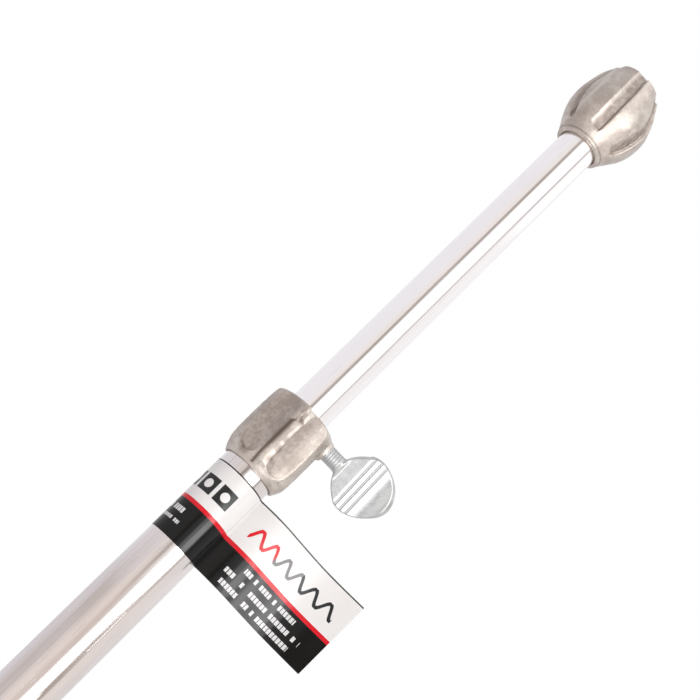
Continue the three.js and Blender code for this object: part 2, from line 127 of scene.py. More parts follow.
FLUTE_ROUNDING = 0.2
FLUTE_REACH = 5.0
FLUTE_REACH_SHARE = 0.45  # of the ring's radius, at most
FLUTE_COLUMNS = 55
LOBE_COLUMNS = 7
HEAD_ROW_STEP = 0.22

# Thread in the head's top, and the thumb screw's thread
CREST_RADIUS = 4.3
SOCKET_THREAD_DEPTH = 0.6
SOCKET_THREAD_PITCH = 1.27
SOCKET_DEPTH = 12.0
SOCKET_COUNTERSINK = 0.7
ROWS_A_PITCH = 8

# Rough skin of a casting
GRAIN_COARSE_SCALE = 0.55
GRAIN_COARSE_HEIGHT = 0.05
GRAIN_FINE_SCALE = 1.7
GRAIN_FINE_HEIGHT = 0.022
HOLLOW_GRAIN = 2.6  # how much rougher the skin is in a hollow
COLLAR_GRAIN = 1.25
HEAD_SEED, COLLAR_SEED, POINT_SEED = 3.7, 11.3, 21.0


def smooth(value, low, high):
    """Smooth step from 0 at low to 1 at high."""
    share = min(max((value - low) / (high - low), 0.0), 1.0)
    return share * share * (3 - 2 * share)


def plateau(value, rise_from, rise_to, fall_from, fall_to):
    """Smooth step up to 1 and back down to 0."""
    return smooth(value, rise_from, rise_to) * (1 - smooth(value, fall_from, fall_to))


def mix(low, high, share):
    return low + (high - low) * share


def soft_min(a, b, rounding):
    return 0.5 * (a + b - sqrt((a - b) ** 2 + rounding ** 2))


def soft_max(a, b, rounding):
    return 0.5 * (a + b + sqrt((a - b) ** 2 + rounding ** 2))


def polar(radius, angle):
    return radius * cos(angle), radius * sin(angle)


def rotated(x, y, angle):
    return x * cos(angle) - y * sin(angle), x * sin(angle) + y * cos(angle)


def round_angles(count):
    return [column / count * 2 * pi for column in range(count)]


def signed(angle):
    """The same angle, between minus and plus half a turn."""
    return (angle + pi) % (2 * pi) - pi


def spline(points, count):
    """Points on a uniform Catmull-Rom curve through the given points."""
    last = len(points) - 1
    padded = [points[0], *points, points[-1]]
    result = []
    for index in range(count + 1):
        along = index / count * last
        start = min(int(along), last - 1)
        result.append([catmull_rom(p, along - start) for p in zip(*padded[start:start + 4])])
    return result


def catmull_rom(values, t):
    a, b, c, d = values
    v0, v1 = (c - a) / 2, (d - b) / 2
    return (2 * b - 2 * c + v0 + v1) * t ** 3 + (-3 * b + 3 * c - 2 * v0 - v1) * t ** 2 + v0 * t + b


def grain(x, y, z, seed, amount=1.0):
    """Height of a casting's rough skin at a point."""
    coarse = noise.noise(Vector((x, y, z + seed)) * GRAIN_COARSE_SCALE)
    fine = noise.noise(Vector((x - seed, y, z)) * GRAIN_FINE_SCALE)
    return amount * (coarse * GRAIN_COARSE_HEIGHT + fine * GRAIN_FINE_HEIGHT)


def ragged(across, up, amount, scale, seed):
    """A factor that wanders about 1 from place to place."""
    return 1 + amount * noise.noise(Vector((across * scale, up * scale, seed)))


def finish_mesh(name, vertices, faces, sharp=32):
    """A mesh object from points in millimetres, smooth but for its sharp edges.

    A fourth value of a point says how far it's worn bright or given painted light, from 0 to 1, or dirty or
    given painted shade, down to -1.
    """
    mesh = bpy.data.meshes.new(name)
    mesh.from_pydata([(x * MM, y * MM, z * MM) for x, y, z, *_ in vertices], [], faces)
    mesh.validate()
    shape = bmesh.new()
    shape.from_mesh(mesh)
    bmesh.ops.recalc_face_normals(shape, faces=shape.faces)
    shape.to_mesh(mesh)
    shape.free()
    if any(len(vertex) > 3 for vertex in vertices):
        wear_and_shading = mesh.attributes.new("wear_and_shading", "FLOAT", "POINT")
        wear_and_shading.data.foreach_set("value", [sum(vertex[3:]) for vertex in vertices])
    for polygon in mesh.polygons:
        polygon.use_smooth = True
    mesh.set_sharp_from_angle(angle=radians(sharp))
    piece = bpy.data.objects.new(name, mesh)
    bpy.context.collection.objects.link(piece)
    return piece


def skin(name, rows, ring=False, sharp=32, caps=(0, -1)):
    """A skin over rows of equally many points, capped at its first and last row, or joined end to start."""
    around, count = len(rows[0]), len(rows)
    vertices = [point for row in rows for point in row]
    faces = []
    for row in range(count if ring else count - 1):
        low, high = row * around, (row + 1) % count * around
        for column in range(around):
            beside = (column + 1) % around
            faces.append((low + column, low + beside, high + beside, high + column))
    for end in () if ring else caps:
        first = end % count * around
        vertices.append(tuple(sum(axis) / around for axis in zip(*rows[end])))
        for column in range(around):
            face = (first + column, first + (column + 1) % around, len(vertices) - 1)
            faces.append(face[::-1] if end == 0 else face)
    return finish_mesh(name, vertices, faces, sharp)


def turned_rows(profile, columns):
    """Rows of points for a profile of (radius, height) turned about the stick's axis."""
    angles = round_angles(columns)
    return [[(*polar(radius, angle), height) for angle in angles] for radius, height in profile]


def screw_axis_rows(profile):
    """Rows of points for a profile of (radius, x) turned about the screw's axis."""
    return [[(x, y, z + SCREW_HEIGHT) for y, z, x in row] for row in turned_rows(profile, HOLE_COLUMNS)]


def rounded_corner(corner, toward_a, toward_b, radius):
    """Points round a square corner of a profile, from the side of a to the side of b."""
    corner, a, b = np.array(corner), np.array(toward_a), np.array(toward_b)
    centre = corner + (a + b) * radius
    return [tuple(centre - radius * (b * cos(t) + a * sin(t))) for t in np.linspace(0, pi / 2, CORNER_POINTS)]


def low_rim(radius, level, edge):
    return rounded_corner((radius, level), (-1, 0), (0, 1), edge)


def high_rim(radius, level, edge):
    return rounded_corner((radius, level), (0, -1), (-1, 0), edge)


# Tubes
def make_tube(name, radius, low, high):
    """A drawn tube with its outer and inner edges broken."""
    bore, edge = radius - TUBE_WALL, TUBE_EDGE_RADIUS
    steps = max(int((high - low) / TUBE_RING_STEP), 2)
    profile = low_rim(radius, low, edge)
    profile += [(radius, mix(low, high, step / steps)) for step in range(1, steps)]
    profile += high_rim(radius, high, edge)
    profile += rounded_corner((bore, high), (1, 0), (0, -1), edge)
    profile += rounded_corner((bore, low), (0, 1), (1, 0), edge)
    return skin(name, turned_rows(profile, TUBE_COLUMNS), ring=True, sharp=60)


# Head
def head_outline():
    """(height, radius) pairs up the bulb, evenly spaced in height."""
    curve = spline([(h * HEAD_LENGTH, r * HEAD_RADIUS) for h, r in HEAD_OUTLINE_SHARES], 200)
    heights = np.arange(curve[0][0], HEAD_LENGTH - HEAD_TOP_EDGE, HEAD_ROW_STEP)
    return list(zip(heights, np.interp(heights, *zip(*curve))))


def flute_depth(height):
    belly = smooth(height, FLUTE_START, FLUTE_START + FLUTE_RUN)
    top = smooth(height, HEAD_LENGTH / 2, HEAD_LENGTH)
    return belly * mix(FLUTE_DEPTH, FLUTE_TOP_DEPTH, top)


def flute_floor(flute, across, radius, depth):
    """How far from the axis the head's surface lies at a distance across from a flute's middle."""
    body = sqrt(radius ** 2 - across ** 2)
    if depth < 0.01:
        return body
    left = (-across - FLUTE_LEFT) / tan(radians(FLUTE_LEFT_DRAFTS[flute]))
    right = (across - FLUTE_RIGHT) / tan(radians(FLUTE_RIGHT_DRAFT))
    floor = radius - depth - min(max(across, -FLUTE_LEFT), FLUTE_RIGHT) * tan(FLUTE_TILT)
    fade = min(depth / FLUTE_TOP_DEPTH, 1.0)
    channel = soft_max(floor, floor + max(left, right), FLUTE_ROUNDING * fade)
    return soft_min(body, channel, FLUTE_ROUNDING * fade)


# Casting flaws on the head: (degrees right of the front, height, radius, depth)
HEAD_PITS = [
    (-61, 18.5, 0.85, 0.5), (-58, 11.2, 0.55, 0.35), (53, 18.3, 1.1, 0.6), (47, 13.0, 0.6, 0.3),
    (58, 10.2, 0.7, 0.35), (118, 15.0, 0.7, 0.4), (172, 21.0, 0.6, 0.35), (-128, 13.5, 0.8, 0.4),
]


def pit_depth(angle, height, radius):
    total = 0.0
    for degrees, at, size, depth in HEAD_PITS:
        across = signed(angle - FRONT - radians(degrees)) * radius
        if abs(across) > 2 * size or abs(height - at) > 2 * size:
            continue
        away = hypot(across, height - at) / (size * ragged(across, height, *PIT_RAGGED, at))
        total += depth * (1 - smooth(away, PIT_FLOOR_SHARE, 1.0))
    return total


def head_shift(height):
    top = smooth(height, HEAD_LENGTH * 0.55, HEAD_LENGTH)
    return mix(HEAD_SHIFT * smooth(height, 1.0, HEAD_LENGTH * 0.3), HEAD_TOP_SHIFT, top)


def head_row(height, radius, rough=1.0):
    """One ring of the head: six flutes and six lobes."""
    depth = flute_depth(height)
    reach = min(FLUTE_REACH, radius * FLUTE_REACH_SHARE)
    half = asin(reach / radius)
    lobe = 2 * pi / FLUTE_COUNT - 2 * half
    row = []
    for flute in range(FLUTE_COUNT):
        middle = FRONT + HEAD_TURN + flute / FLUTE_COUNT * 2 * pi
        out = Vector(polar(1, middle))
        side = Vector((-out.y, out.x))
        for column in range(FLUTE_COLUMNS):
            across = mix(-reach, reach, column / (FLUTE_COLUMNS - 1))
            point = out * flute_floor(flute, across, radius, depth) + side * across
            hollow = smooth(sqrt(radius ** 2 - across ** 2) - point.dot(out), *HOLLOW_FROM)
            # Painted shade: the flutes' floors are made darker than their hollow alone makes them.
            row.append((point, 1 - hollow * (1 + FLUTE_SHADE * smooth(across, *FLUTE_SHADE_FROM))))
        for column in range(1, LOBE_COLUMNS + 1):
            angle = middle + half + lobe * column / (LOBE_COLUMNS + 1)
            row.append((Vector(polar(radius, angle)), 1.0))
    return [head_point(point, bright, height, radius, depth, rough) for point, bright in row]


def head_point(point, bright, height, radius, depth, rough):
    """A point of a ring with its grain, pits and marks of the die, and how far it's worn, with its painted
    highlight and painted shade.
    """
    pit = pit_depth(atan2(point.y, point.x), height, radius) * rough
    lip_line = 1 - smooth(abs(height - LIP_LINE_HEIGHT), LIP_LINE_HALF * 0.2, LIP_LINE_HALF)
    raised = grain(point.x, point.y, height, HEAD_SEED, rough * mix(HOLLOW_GRAIN, 1.0, bright))
    raised -= pit
    raised -= LIP_LINE_DEPTH * lip_line
    raised += sum(smooth(point.x, *step) for step in CORE_STEPS) * CORE_STEP_HEIGHT * depth
    scale = (point.length + raised) / point.length
    x = point.x * scale + head_shift(height)
    tilt = x * HEAD_TOP_TILT * smooth(height, HEAD_LENGTH / 2, HEAD_LENGTH)
    # Painted highlight along that band in x; pits lose their shine.
    bright *= (1 - smooth(pit, *PIT_DULL)) * (HEAD_WORN + plateau(point.x, *PAINTED_HIGHLIGHT_STRIPE))
    # Painted shadow along the lip line and painted shade in the pits darken the value.
    wear_and_shading = bright - lip_line * (LIP_LINE_SHADE + HEAD_WORN) - PIT_SHADE * smooth(pit, *PIT_SHADE_FROM)
    return x, point.y * scale, HEAD_BOTTOM + height - tilt, wear_and_shading


def ring_like(row, radius, level, twist=None, drop=0.0):
    """A round ring at the angles of a row's points, with grooves by twist and a share of the die's drop."""
    points = []
    for x, y, *_ in row:
        angle = atan2(y, x)
        reach = radius if twist is None else radius + twist(angle, level)
        points.append((*polar(reach, angle), level + drop * die_drop(angle)))
    return points


def inner_thread(angle, level):
    """Height of the female thread's groove at a place in the socket."""
    turn = ((level / SOCKET_THREAD_PITCH) - angle / (2 * pi)) % 1.0
    return SOCKET_THREAD_DEPTH * min(abs(turn - 0.5) * 2.4, 1.0)


def make_head():
    outline = head_outline()
    first_height, first_radius = outline[0]
    last_height, last_radius = outline[-1]
    template = head_row(first_height, first_radius, 0.0)
    ceiling = HEAD_BOTTOM + HEAD_SOCKET_DEPTH
    rows = [ring_like(template, radius, level) for radius, level in (
        (HEAD_BORE * 0.5, ceiling), (HEAD_BORE, ceiling), (HEAD_BORE, HEAD_BOTTOM + 0.3),
        (HEAD_BORE + 0.25, HEAD_BOTTOM),
    )]
    for step in range(6):
        turn = step / 6 * pi / 2
        radius = mix(HEAD_RADIUS * HEAD_LIP_SHARE, first_radius, sin(turn))
        rows.append(head_row(first_height * (1 - cos(turn)), radius, LIP_ROUGHNESS))
    rows += [head_row(height, radius) for height, radius in outline]
    for step in range(1, 6):
        turn = step / 5 * pi / 2
        height = HEAD_LENGTH - HEAD_TOP_EDGE * (1 - sin(turn))
        radius = last_radius - HEAD_TOP_EDGE * (1 - cos(turn)) - (height - last_height) * HEAD_TOP_TAPER
        rows.append(head_row(height, radius, TOP_EDGE_ROUGHNESS))
    edge = rows[-1]
    top = HEAD_BOTTOM + HEAD_LENGTH
    rim = ring_like(edge, CREST_RADIUS + SOCKET_THREAD_DEPTH + SOCKET_COUNTERSINK, top)
    for share in (0.25, 0.5, 0.75, 1.0):
        rows.append([tuple(mix(a, b, share) for a, b in zip(p, q)) + (TOP_WORN,) for p, q in zip(edge, rim)])
    step = SOCKET_THREAD_PITCH / ROWS_A_PITCH
    for level in np.arange(top - SOCKET_COUNTERSINK, top - SOCKET_DEPTH, -step):
        rows.append(ring_like(edge, CREST_RADIUS, level, inner_thread))
    floor = top - SOCKET_DEPTH - step
    rows.append(ring_like(edge, CREST_RADIUS, floor))
    rows.append(ring_like(edge, CREST_RADIUS * 0.5, floor - 0.8))
    return skin("cast_head", rows, sharp=38)


# Collar casting
COLLAR_LOW, COLLAR_HIGH = node_span("clamp_collar")
COLLAR_BOTTOM = COLLAR_LOW.z
COLLAR_LENGTH = COLLAR_HIGH.z - COLLAR_LOW.z
COLLAR_APOTHEM = 10.55
COLLAR_TURN = radians(-3)  # of the six sides against the parting line
COLLAR_FILLET = 1.0
COLLAR_FLATS = 6
COLLAR_SOCKET_DEPTH = 16.0
COLLAR_RIM_RADIUS = OUTER_RADIUS + 0.75
# (height, distance to the flats, distance to the clipped corners)
COLLAR_OUTLINE_SHARES = [
    (0.0, 0.845, 0.845), (0.05, 0.905, 0.908), (0.085, 0.935, 0.943), (0.11, 0.953, 0.972),
    (0.15, 0.972, 1.016), (0.24, 0.99, 1.055), (0.36, 1.002, 1.072), (0.6, 1.003, 1.077),
    (0.8, 0.998, 1.067), (0.9, 0.985, 1.045), (0.955, 0.972, 1.008), (0.978, 0.94, 0.962), (1.0, 0.85, 0.86),
]
COLLAR_CLIP_ROUNDING = 0.05
FLAT_DISH = 0.45  # how far a flat is hollowed
FLAT_DISH_FROM = (0.0, 0.4)
COLLAR_COLUMNS = 336
COLLAR_ROWS = 96
COLLAR_TOP_WORN = 0.6
COLLAR_SHARP = 34
DIE_DROP = 0.35  # how far the right half of the casting lies below the left
DIE_EDGE = (-0.07, -0.02)  # along which its halves meet, as the cosine of the angle round the stick
SEAM_CORNERS = [(FRONT, 1, 1.0), (-FRONT, -1, 0.5)]  # angle, direction and strength
SEAM_REACH = 4
SEAM_RIDGE = (-1.5, -1.1, 0.4, 1.2)
SEAM_RIDGE_HEIGHT = 0.14
SEAM_RIDGE_RUN = (0.9, 2.5, COLLAR_LENGTH * 0.9, COLLAR_LENGTH * 0.96)
SEAM_GROOVE_AT = -1.85  # along the lower part of the parting line
SEAM_GROOVE_ABOVE = -0.45  # and above the step in it
SEAM_STEP = (16.2, 17.6)
SEAM_GROOVE_BELOW = 0.35  # how far it bends to the right at the foot
SEAM_GROOVE_FOOT = (0.5, 4.5)
SEAM_GROOVE_RUN = (0.3, 1.0, COLLAR_LENGTH * 0.88, COLLAR_LENGTH * 0.92)
SEAM_GROOVE_HALF = 0.9
SEAM_GROOVE_DEPTH = 0.07
# Half width of the painted shade along the seam's groove
SEAM_SHADE_HALF = SEAM_GROOVE_HALF * 1.4
# How far painted shade and the gate's dirt darken the collar
COLLAR_SHADE_AND_DIRT = 0.9
LEFT_CORNER_SHADE = 0.35  # painted shade: how bright the left half's corners stay above the flats' rounded ends
LEFT_CORNER_SHADE_FROM = (0.2, 0.4)
RIGHT_HALF_LIGHT = 0.2  # painted light: how bright the right half's flats are at least
RIGHT_HALF_LIGHT_FROM = (-0.12, -0.04)
# Dark patches of painted shade: (degrees right of the front, height, radius, strength)
COLLAR_SHADE_PATCHES = [
    (-25, 1.9, 1.3, 0.3), (-30, 1.6, 1.6, 0.55), (-37, 1.9, 1.7, 0.7), (-44, 2.8, 1.6, 0.55),
    (-51, 4.2, 1.3, 0.35), (4, 11.5, 1.5, 0.6), (6, 8.4, 1.9, 0.7), (7, 5.0, 1.8, 0.65), (140, 4.0, 1.4, 0.4),
]
GATE_HEIGHT_SHARE = 0.8
GATE_RADIUS = 1.2
GATE_STRETCH = (0.7, 1.3)  # across and up
GATE_SLANT = 0.3
GATE_DEPTH = 0.28
GATE_DIRT = 0.75
GATE_RAGGED = (0.3, 1.7, 5.0)  # amount, scale and seed of its uneven edge
GATE_UNEVEN = (0.25, 3.1, 9.0)  # and of its floor
BOSS_FACE = 11.5
BOSS_FACE_RADIUS = 2.95
BOSS_SLOPE = 1.9
BOSS_FILLET = 0.5
BOSS_SIDE = 0.75  # cosine of how far it reaches round the collar
BOSS_NEAR = 3
PAD_LOW, PAD_HIGH = node_span("pressure_pad")
SCREW_HEIGHT = (PAD_LOW.z + PAD_HIGH.z) / 2
SCREW_HOLE_RADIUS = 2.62
HOLE_COLUMNS = 48


def collar_radius(angle, apothem, clip):
    """Distance from the axis to the collar's six-sided outline, whose corners are filleted and clipped."""
    sector = 2 * pi / COLLAR_FLATS
    angle -= COLLAR_TURN
    from_flat = abs(angle - round(angle / sector) * sector)
    across = apothem * tan(from_flat)
    if across <= (apothem - COLLAR_FILLET) * tan(sector / 2):
        flat_half = sqrt(max(clip ** 2 - apothem ** 2, 0.01))
        dish = max(1 - (across / flat_half) ** 2, 0)
        radius = (apothem - FLAT_DISH * dish * smooth(clip - apothem, *FLAT_DISH_FROM)) / cos(from_flat)
    else:
        reach = (apothem - COLLAR_FILLET) / cos(sector / 2)
        x, y = polar(reach, sector / 2 - from_flat)
        radius = x + sqrt(COLLAR_FILLET ** 2 - y ** 2)
    return soft_min(radius, clip, COLLAR_CLIP_ROUNDING)


def seam_height(angle, height, radius):
    """What the parting line adds at the front and back corners, and the painted shade along its groove."""
    total, shade_and_dirt = 0.0, 0.0
    for corner, way, strength in SEAM_CORNERS:
        across = way * signed(angle - corner) * radius
        if abs(across) > SEAM_REACH:
            continue
        above = smooth(height, *SEAM_STEP)
        at = mix(SEAM_GROOVE_AT, SEAM_GROOVE_ABOVE, above)
        at += SEAM_GROOVE_BELOW * (1 - smooth(height, *SEAM_GROOVE_FOOT))
        away = abs(across - at)
        ends = plateau(height, *SEAM_GROOVE_RUN)
        groove = 1 - smooth(away, SEAM_GROOVE_HALF * 0.35, SEAM_GROOVE_HALF)
        ridge = plateau(across, *SEAM_RIDGE) * plateau(height, *SEAM_RIDGE_RUN)
        total += strength * (ridge * SEAM_RIDGE_HEIGHT - groove * SEAM_GROOVE_DEPTH * ends)
        # Painted shade along the groove.
        groove_shade = 1 - smooth(away, 0.0, SEAM_SHADE_HALF)
        shade_and_dirt = max(shade_and_dirt, strength * ends * groove_shade * mix(1.0, 0.5, above))
    return total, shade_and_dirt


def gate_depth(angle, height, radius):
    """The ragged scar where the gate broke off the front corner."""
    across = (angle - FRONT) * radius
    up = height - COLLAR_LENGTH * GATE_HEIGHT_SHARE + GATE_SLANT * across
    away = hypot(across * GATE_STRETCH[0], up * GATE_STRETCH[1])
    if away > 2 * GATE_RADIUS:
        return 0.0
    edge = GATE_RADIUS * ragged(across, height, *GATE_RAGGED)
    return GATE_DEPTH * ragged(across, height, *GATE_UNEVEN) * (1 - smooth(away / edge, 0.5, 1.0))


def boss_radius(angle, height):
    """Distance from the stick's axis to the screw boss, or 0 away from it."""
    if cos(angle) < BOSS_SIDE:
        return 0.0
    out = hypot(BOSS_FACE * tan(angle), height + COLLAR_BOTTOM - SCREW_HEIGHT)
    return (BOSS_FACE - max(out - BOSS_FACE_RADIUS, 0) * BOSS_SLOPE) / cos(angle)


def collar_point(angle, height, apothem, clip):
    """How far from the axis the collar's surface lies, and how dark it is made by painted shade and the
    gate's dirt.
    """
    radius = collar_radius(angle, apothem, clip)
    seam, shade_and_dirt = seam_height(angle, height, radius)
    radius += seam * smooth(apothem, OUTER_RADIUS, OUTER_RADIUS + 1.0)
    boss = boss_radius(angle, height)
    if boss > radius - BOSS_NEAR:
        lid = smooth(COLLAR_LENGTH - height, 0.0, 0.8)
        radius = mix(radius, soft_max(radius, boss, BOSS_FILLET), lid)
    gate = gate_depth(angle, height, radius)
    radius += grain(*polar(radius, angle), height, COLLAR_SEED, COLLAR_GRAIN) - gate
    # Painted shade in patches.
    for degrees, at, size, strength in COLLAR_SHADE_PATCHES:
        away = hypot((angle - FRONT - radians(degrees)) * radius, height - at)
        shade_and_dirt = max(shade_and_dirt, strength * (1 - smooth(away / size, 0.2, 1.0)))
    return radius, max(shade_and_dirt, min(gate / GATE_DEPTH, 1.0) * GATE_DIRT)


def die_drop(angle):
    """The two halves of the casting, left and right of the parting line, don't quite line up in height."""
    return -DIE_DROP * smooth(cos(angle), *DIE_EDGE) + DIE_DROP / 2


def collar_row(share, apothem, clip):
    row = []
    height = COLLAR_LENGTH * share
    for angle in round_angles(COLLAR_COLUMNS):
        angle = angle - 2 * pi if angle > pi else angle
        radius, shade_and_dirt = collar_point(angle, height, apothem, clip)
        # Painted light on the right half, and painted shade on the left half's upper corners.
        right = smooth(cos(angle), *RIGHT_HALF_LIGHT_FROM)
        side_shade = mix(1.0, mix(LEFT_CORNER_SHADE, 1.0, right), smooth(share, *LEFT_CORNER_SHADE_FROM))
        bright = max(smooth(radius, clip - 0.3, clip - 0.05) * side_shade, RIGHT_HALF_LIGHT * right)
        level = COLLAR_BOTTOM + height + die_drop(angle)
        # Painted shade and the gate's dirt pull the value towards -1.
        row.append((*polar(radius, angle), level, mix(bright, -1.0, shade_and_dirt * COLLAR_SHADE_AND_DIRT)))
    return row


def make_collar():
    outline = spline(COLLAR_OUTLINE_SHARES, COLLAR_ROWS)
    rows = [collar_row(s, COLLAR_APOTHEM * a, COLLAR_APOTHEM * c) for s, a, c in outline]
    bottom, top = rows[0], rows[-1]
    bore, sleeve = INNER_RADIUS + BORE_GAP, OUTER_RADIUS + SOCKET_GAP
    high = COLLAR_BOTTOM + COLLAR_LENGTH
    shoulder = COLLAR_BOTTOM + COLLAR_SOCKET_DEPTH
    rim = ring_like(top, bore + 0.35, high, drop=1.0)
    for share in (0.12, 0.4, 0.7, 1.0):
        flat = smooth(share, 0, 0.5)
        rows.append([
            (mix(a[0], b[0], share), mix(a[1], b[1], share), mix(a[2], b[2], flat), COLLAR_TOP_WORN)
            for a, b in zip(top, rim)
        ])
    for like, radius, level, drop in (
        (top, bore, high - 0.4, 0.5), (top, bore, shoulder, 0.0), (top, sleeve, shoulder, 0.0),
        (top, sleeve, COLLAR_BOTTOM + 0.8, 0.5), (top, sleeve + 0.1, COLLAR_BOTTOM + 0.05, 1.0),
        (bottom, mix(sleeve, COLLAR_RIM_RADIUS, 0.6), COLLAR_BOTTOM - 0.05, 1.0),
    ):
        rows.append(ring_like(like, radius, level, drop=drop))
    collar = skin("cast_collar", rows, ring=True, sharp=COLLAR_SHARP)
    cut_screw_hole(collar)
    return collar


def cut_screw_hole(collar):
    """Cuts the screw's hole through the boss and applies it."""
    profile = [(SCREW_HOLE_RADIUS, 4.0), (SCREW_HOLE_RADIUS, BOSS_FACE + 3)]
    cutter = skin("hole_cutter", screw_axis_rows(profile))
    cut = collar.modifiers.new("screw hole", "BOOLEAN")
    cut.operation = "DIFFERENCE"
    cut.solver = "EXACT"
    cut.object = cutter
    applied = bpy.data.meshes.new_from_object(collar.evaluated_get(bpy.context.evaluated_depsgraph_get()))
    collar.modifiers.clear()
    collar.data = applied
    collar.data.set_sharp_from_angle(angle=radians(COLLAR_SHARP))
    bpy.data.objects.remove(cutter)


# Thumb screw
SCREW_TIP = node_span("thumb_screw")[0].x
SCREW_RADIUS = 2.5
SCREW_PITCH = 0.8
THREAD_DEPTH = 0.04
THREAD_END = 15.4
THREAD_RUN = (SCREW_TIP, SCREW_TIP + 0.6, THREAD_END, THREAD_END + 0.8)
TIP_TAPER = 0.2
NECK = 16.2
FLAT_FROM = NECK - 0.6
SCREW_TURN = radians(27)
SPADE_LEAN = radians(3)
LEAN_ABOUT = 22.0
SPADE_SHOULDER = [
    (16.2, 2.5), (16.7, 2.8), (17.4, 4.1), (18.9, 6.0), (21.1, 7.9), (22.6, 8.8), (24.4, 9.15),
]
SPADE_CENTRE = 24.4
SPADE_RADIUS = 9.15
SPADE_THICKNESS = 2.4
SPADE_EDGE = 0.4
SPADE_CREASE = 21.5
SPADE_TILT = radians(8)
BOW_START = 28.2
BOW_RADIUS = 7.2
GROOVES = 3
GROOVE_FIRST = 22.7
GROOVE_PITCH = 1.95
GROOVE_WIDTH = 0.75
GROOVE_DEPTH = 0.18
NECK_BLEND = 2.2
SHANK_DULLNESS = 0.6
SPADE_POINTS = 41
SHOULDER_STEP = 0.2
SEAT_STEP = 0.08
BOW_ROWS = 60
SHOULDER_CURVE = list(zip(*spline(SPADE_SHOULDER, 80)))


def spade_tilt(x):
    """The slope of the spade's front face in side view."""
    if x <= SPADE_CREASE:
        return 0.0
    if x <= BOW_START:
        return SPADE_TILT
    return -asin(min((x - BOW_START) / BOW_RADIUS - sin(SPADE_TILT), 1.0))


def spade_front(x):
    """Where the front face lies in side view: a flat root, a seat for the thumb, then a bow."""
    front = max(min(x, BOW_START) - SPADE_CREASE, 0) * tan(SPADE_TILT) - SPADE_THICKNESS / 2
    if x <= BOW_START:
        return front
    return front - BOW_RADIUS * (cos(SPADE_TILT) - cos(spade_tilt(x)))


def spade_half_width(x):
    """Half the spade's width at x: the shank, two rounded shoulders, then the disc."""
    if x <= NECK:
        return SCREW_RADIUS
    if x < SPADE_CENTRE:
        return float(np.interp(x, *SHOULDER_CURVE))
    return sqrt(max(SPADE_RADIUS ** 2 - (x - SPADE_CENTRE) ** 2, 0))


def groove_depth(x):
    depth = 0.0
    for groove in range(GROOVES):
        away = abs(x - GROOVE_FIRST - groove * GROOVE_PITCH)
        depth = max(depth, GROOVE_DEPTH * (1 - smooth(away, GROOVE_WIDTH * 0.22, GROOVE_WIDTH * 0.55)))
    return depth


def spade_half_thickness(x, z):
    """Half the spade's thickness, rounded over at its rim."""
    inside = min(SPADE_RADIUS - hypot(x - SPADE_CENTRE, z), SPADE_RADIUS)
    if x < SPADE_CENTRE:
        inside = (spade_half_width(x) - abs(z)) * mix(0.75, 1.0, smooth(x, NECK, SPADE_CENTRE))
    lacking = min(max(SPADE_EDGE - inside, 0), SPADE_EDGE)
    return SPADE_THICKNESS / 2 - (SPADE_EDGE - sqrt(SPADE_EDGE ** 2 - lacking ** 2))


def thread_height(x, turn):
    """Height of the screw's thread above its root, as a share."""
    return 0.5 + 0.5 * cos((x / SCREW_PITCH - turn) * 2 * pi)


def screw_row(x):
    """One section of the screw at x: round on the shank, flat on the spade."""
    flat = smooth(x, FLAT_FROM, FLAT_FROM + NECK_BLEND)
    lean, tilt = SPADE_LEAN * flat, spade_tilt(x)
    half_width, groove = spade_half_width(x), groove_depth(x)
    dull = max(groove / GROOVE_DEPTH * flat, SHANK_DULLNESS * (1 - flat))
    fade = plateau(x, *THREAD_RUN)
    tip = 1 - TIP_TAPER * (1 - smooth(x, SCREW_TIP, SCREW_TIP + 0.5))
    shares = [sin(t) for t in np.linspace(-pi / 2, pi / 2, SPADE_POINTS)]
    row = []
    for face, share in [(-1, share) for share in shares] + [(1, share) for share in reversed(shares)]:
        z = share * half_width
        round_share = sqrt(max(1 - share * share, 0))
        turn = atan2(share, face * round_share) / (2 * pi)
        half = mix(round_share * half_width, spade_half_thickness(x, z) - groove, flat)
        depth = SPADE_THICKNESS / 2 + face * half
        scale = tip * (1 - THREAD_DEPTH * (1 - thread_height(x, turn)) * fade / SCREW_RADIUS)
        across = (spade_front(x) + depth * cos(tilt)) * scale
        along, up = rotated(x - depth * sin(tilt) - LEAN_ABOUT, z * scale, lean)
        across, up = rotated(across, up, SCREW_TURN)
        row.append((LEAN_ABOUT + along, across, SCREW_HEIGHT + up, -dull))
    return row


def make_screw():
    thread_end = THREAD_RUN[-1]
    places = list(np.arange(SCREW_TIP, thread_end, SCREW_PITCH / ROWS_A_PITCH))
    places += list(np.arange(thread_end + 0.05, SPADE_CREASE, SHOULDER_STEP))
    places += list(np.arange(SPADE_CREASE, BOW_START, SEAT_STEP))
    last = asin((BOW_START - SPADE_CENTRE) / SPADE_RADIUS)
    places += [SPADE_CENTRE + SPADE_RADIUS * sin(t) for t in np.linspace(last, pi / 2 - 0.02, BOW_ROWS)]
    return skin("zinc_thumb_screw", [screw_row(x) for x in places], sharp=40)


# Pressure pad and foot bush
PAD_EDGE = 0.25
BUSH_RIBS = 3
BUSH_COLUMNS = 96


def make_pad():
    radius = (PAD_HIGH.z - PAD_LOW.z) / 2
    profile = [(0.4 * radius, PAD_LOW.x)] + low_rim(radius, PAD_LOW.x, PAD_EDGE)
    profile += high_rim(radius, PAD_HIGH.x, PAD_EDGE) + [(0.4 * radius, PAD_HIGH.x)]
    return skin("nylon_pressure_pad", screw_axis_rows(profile))


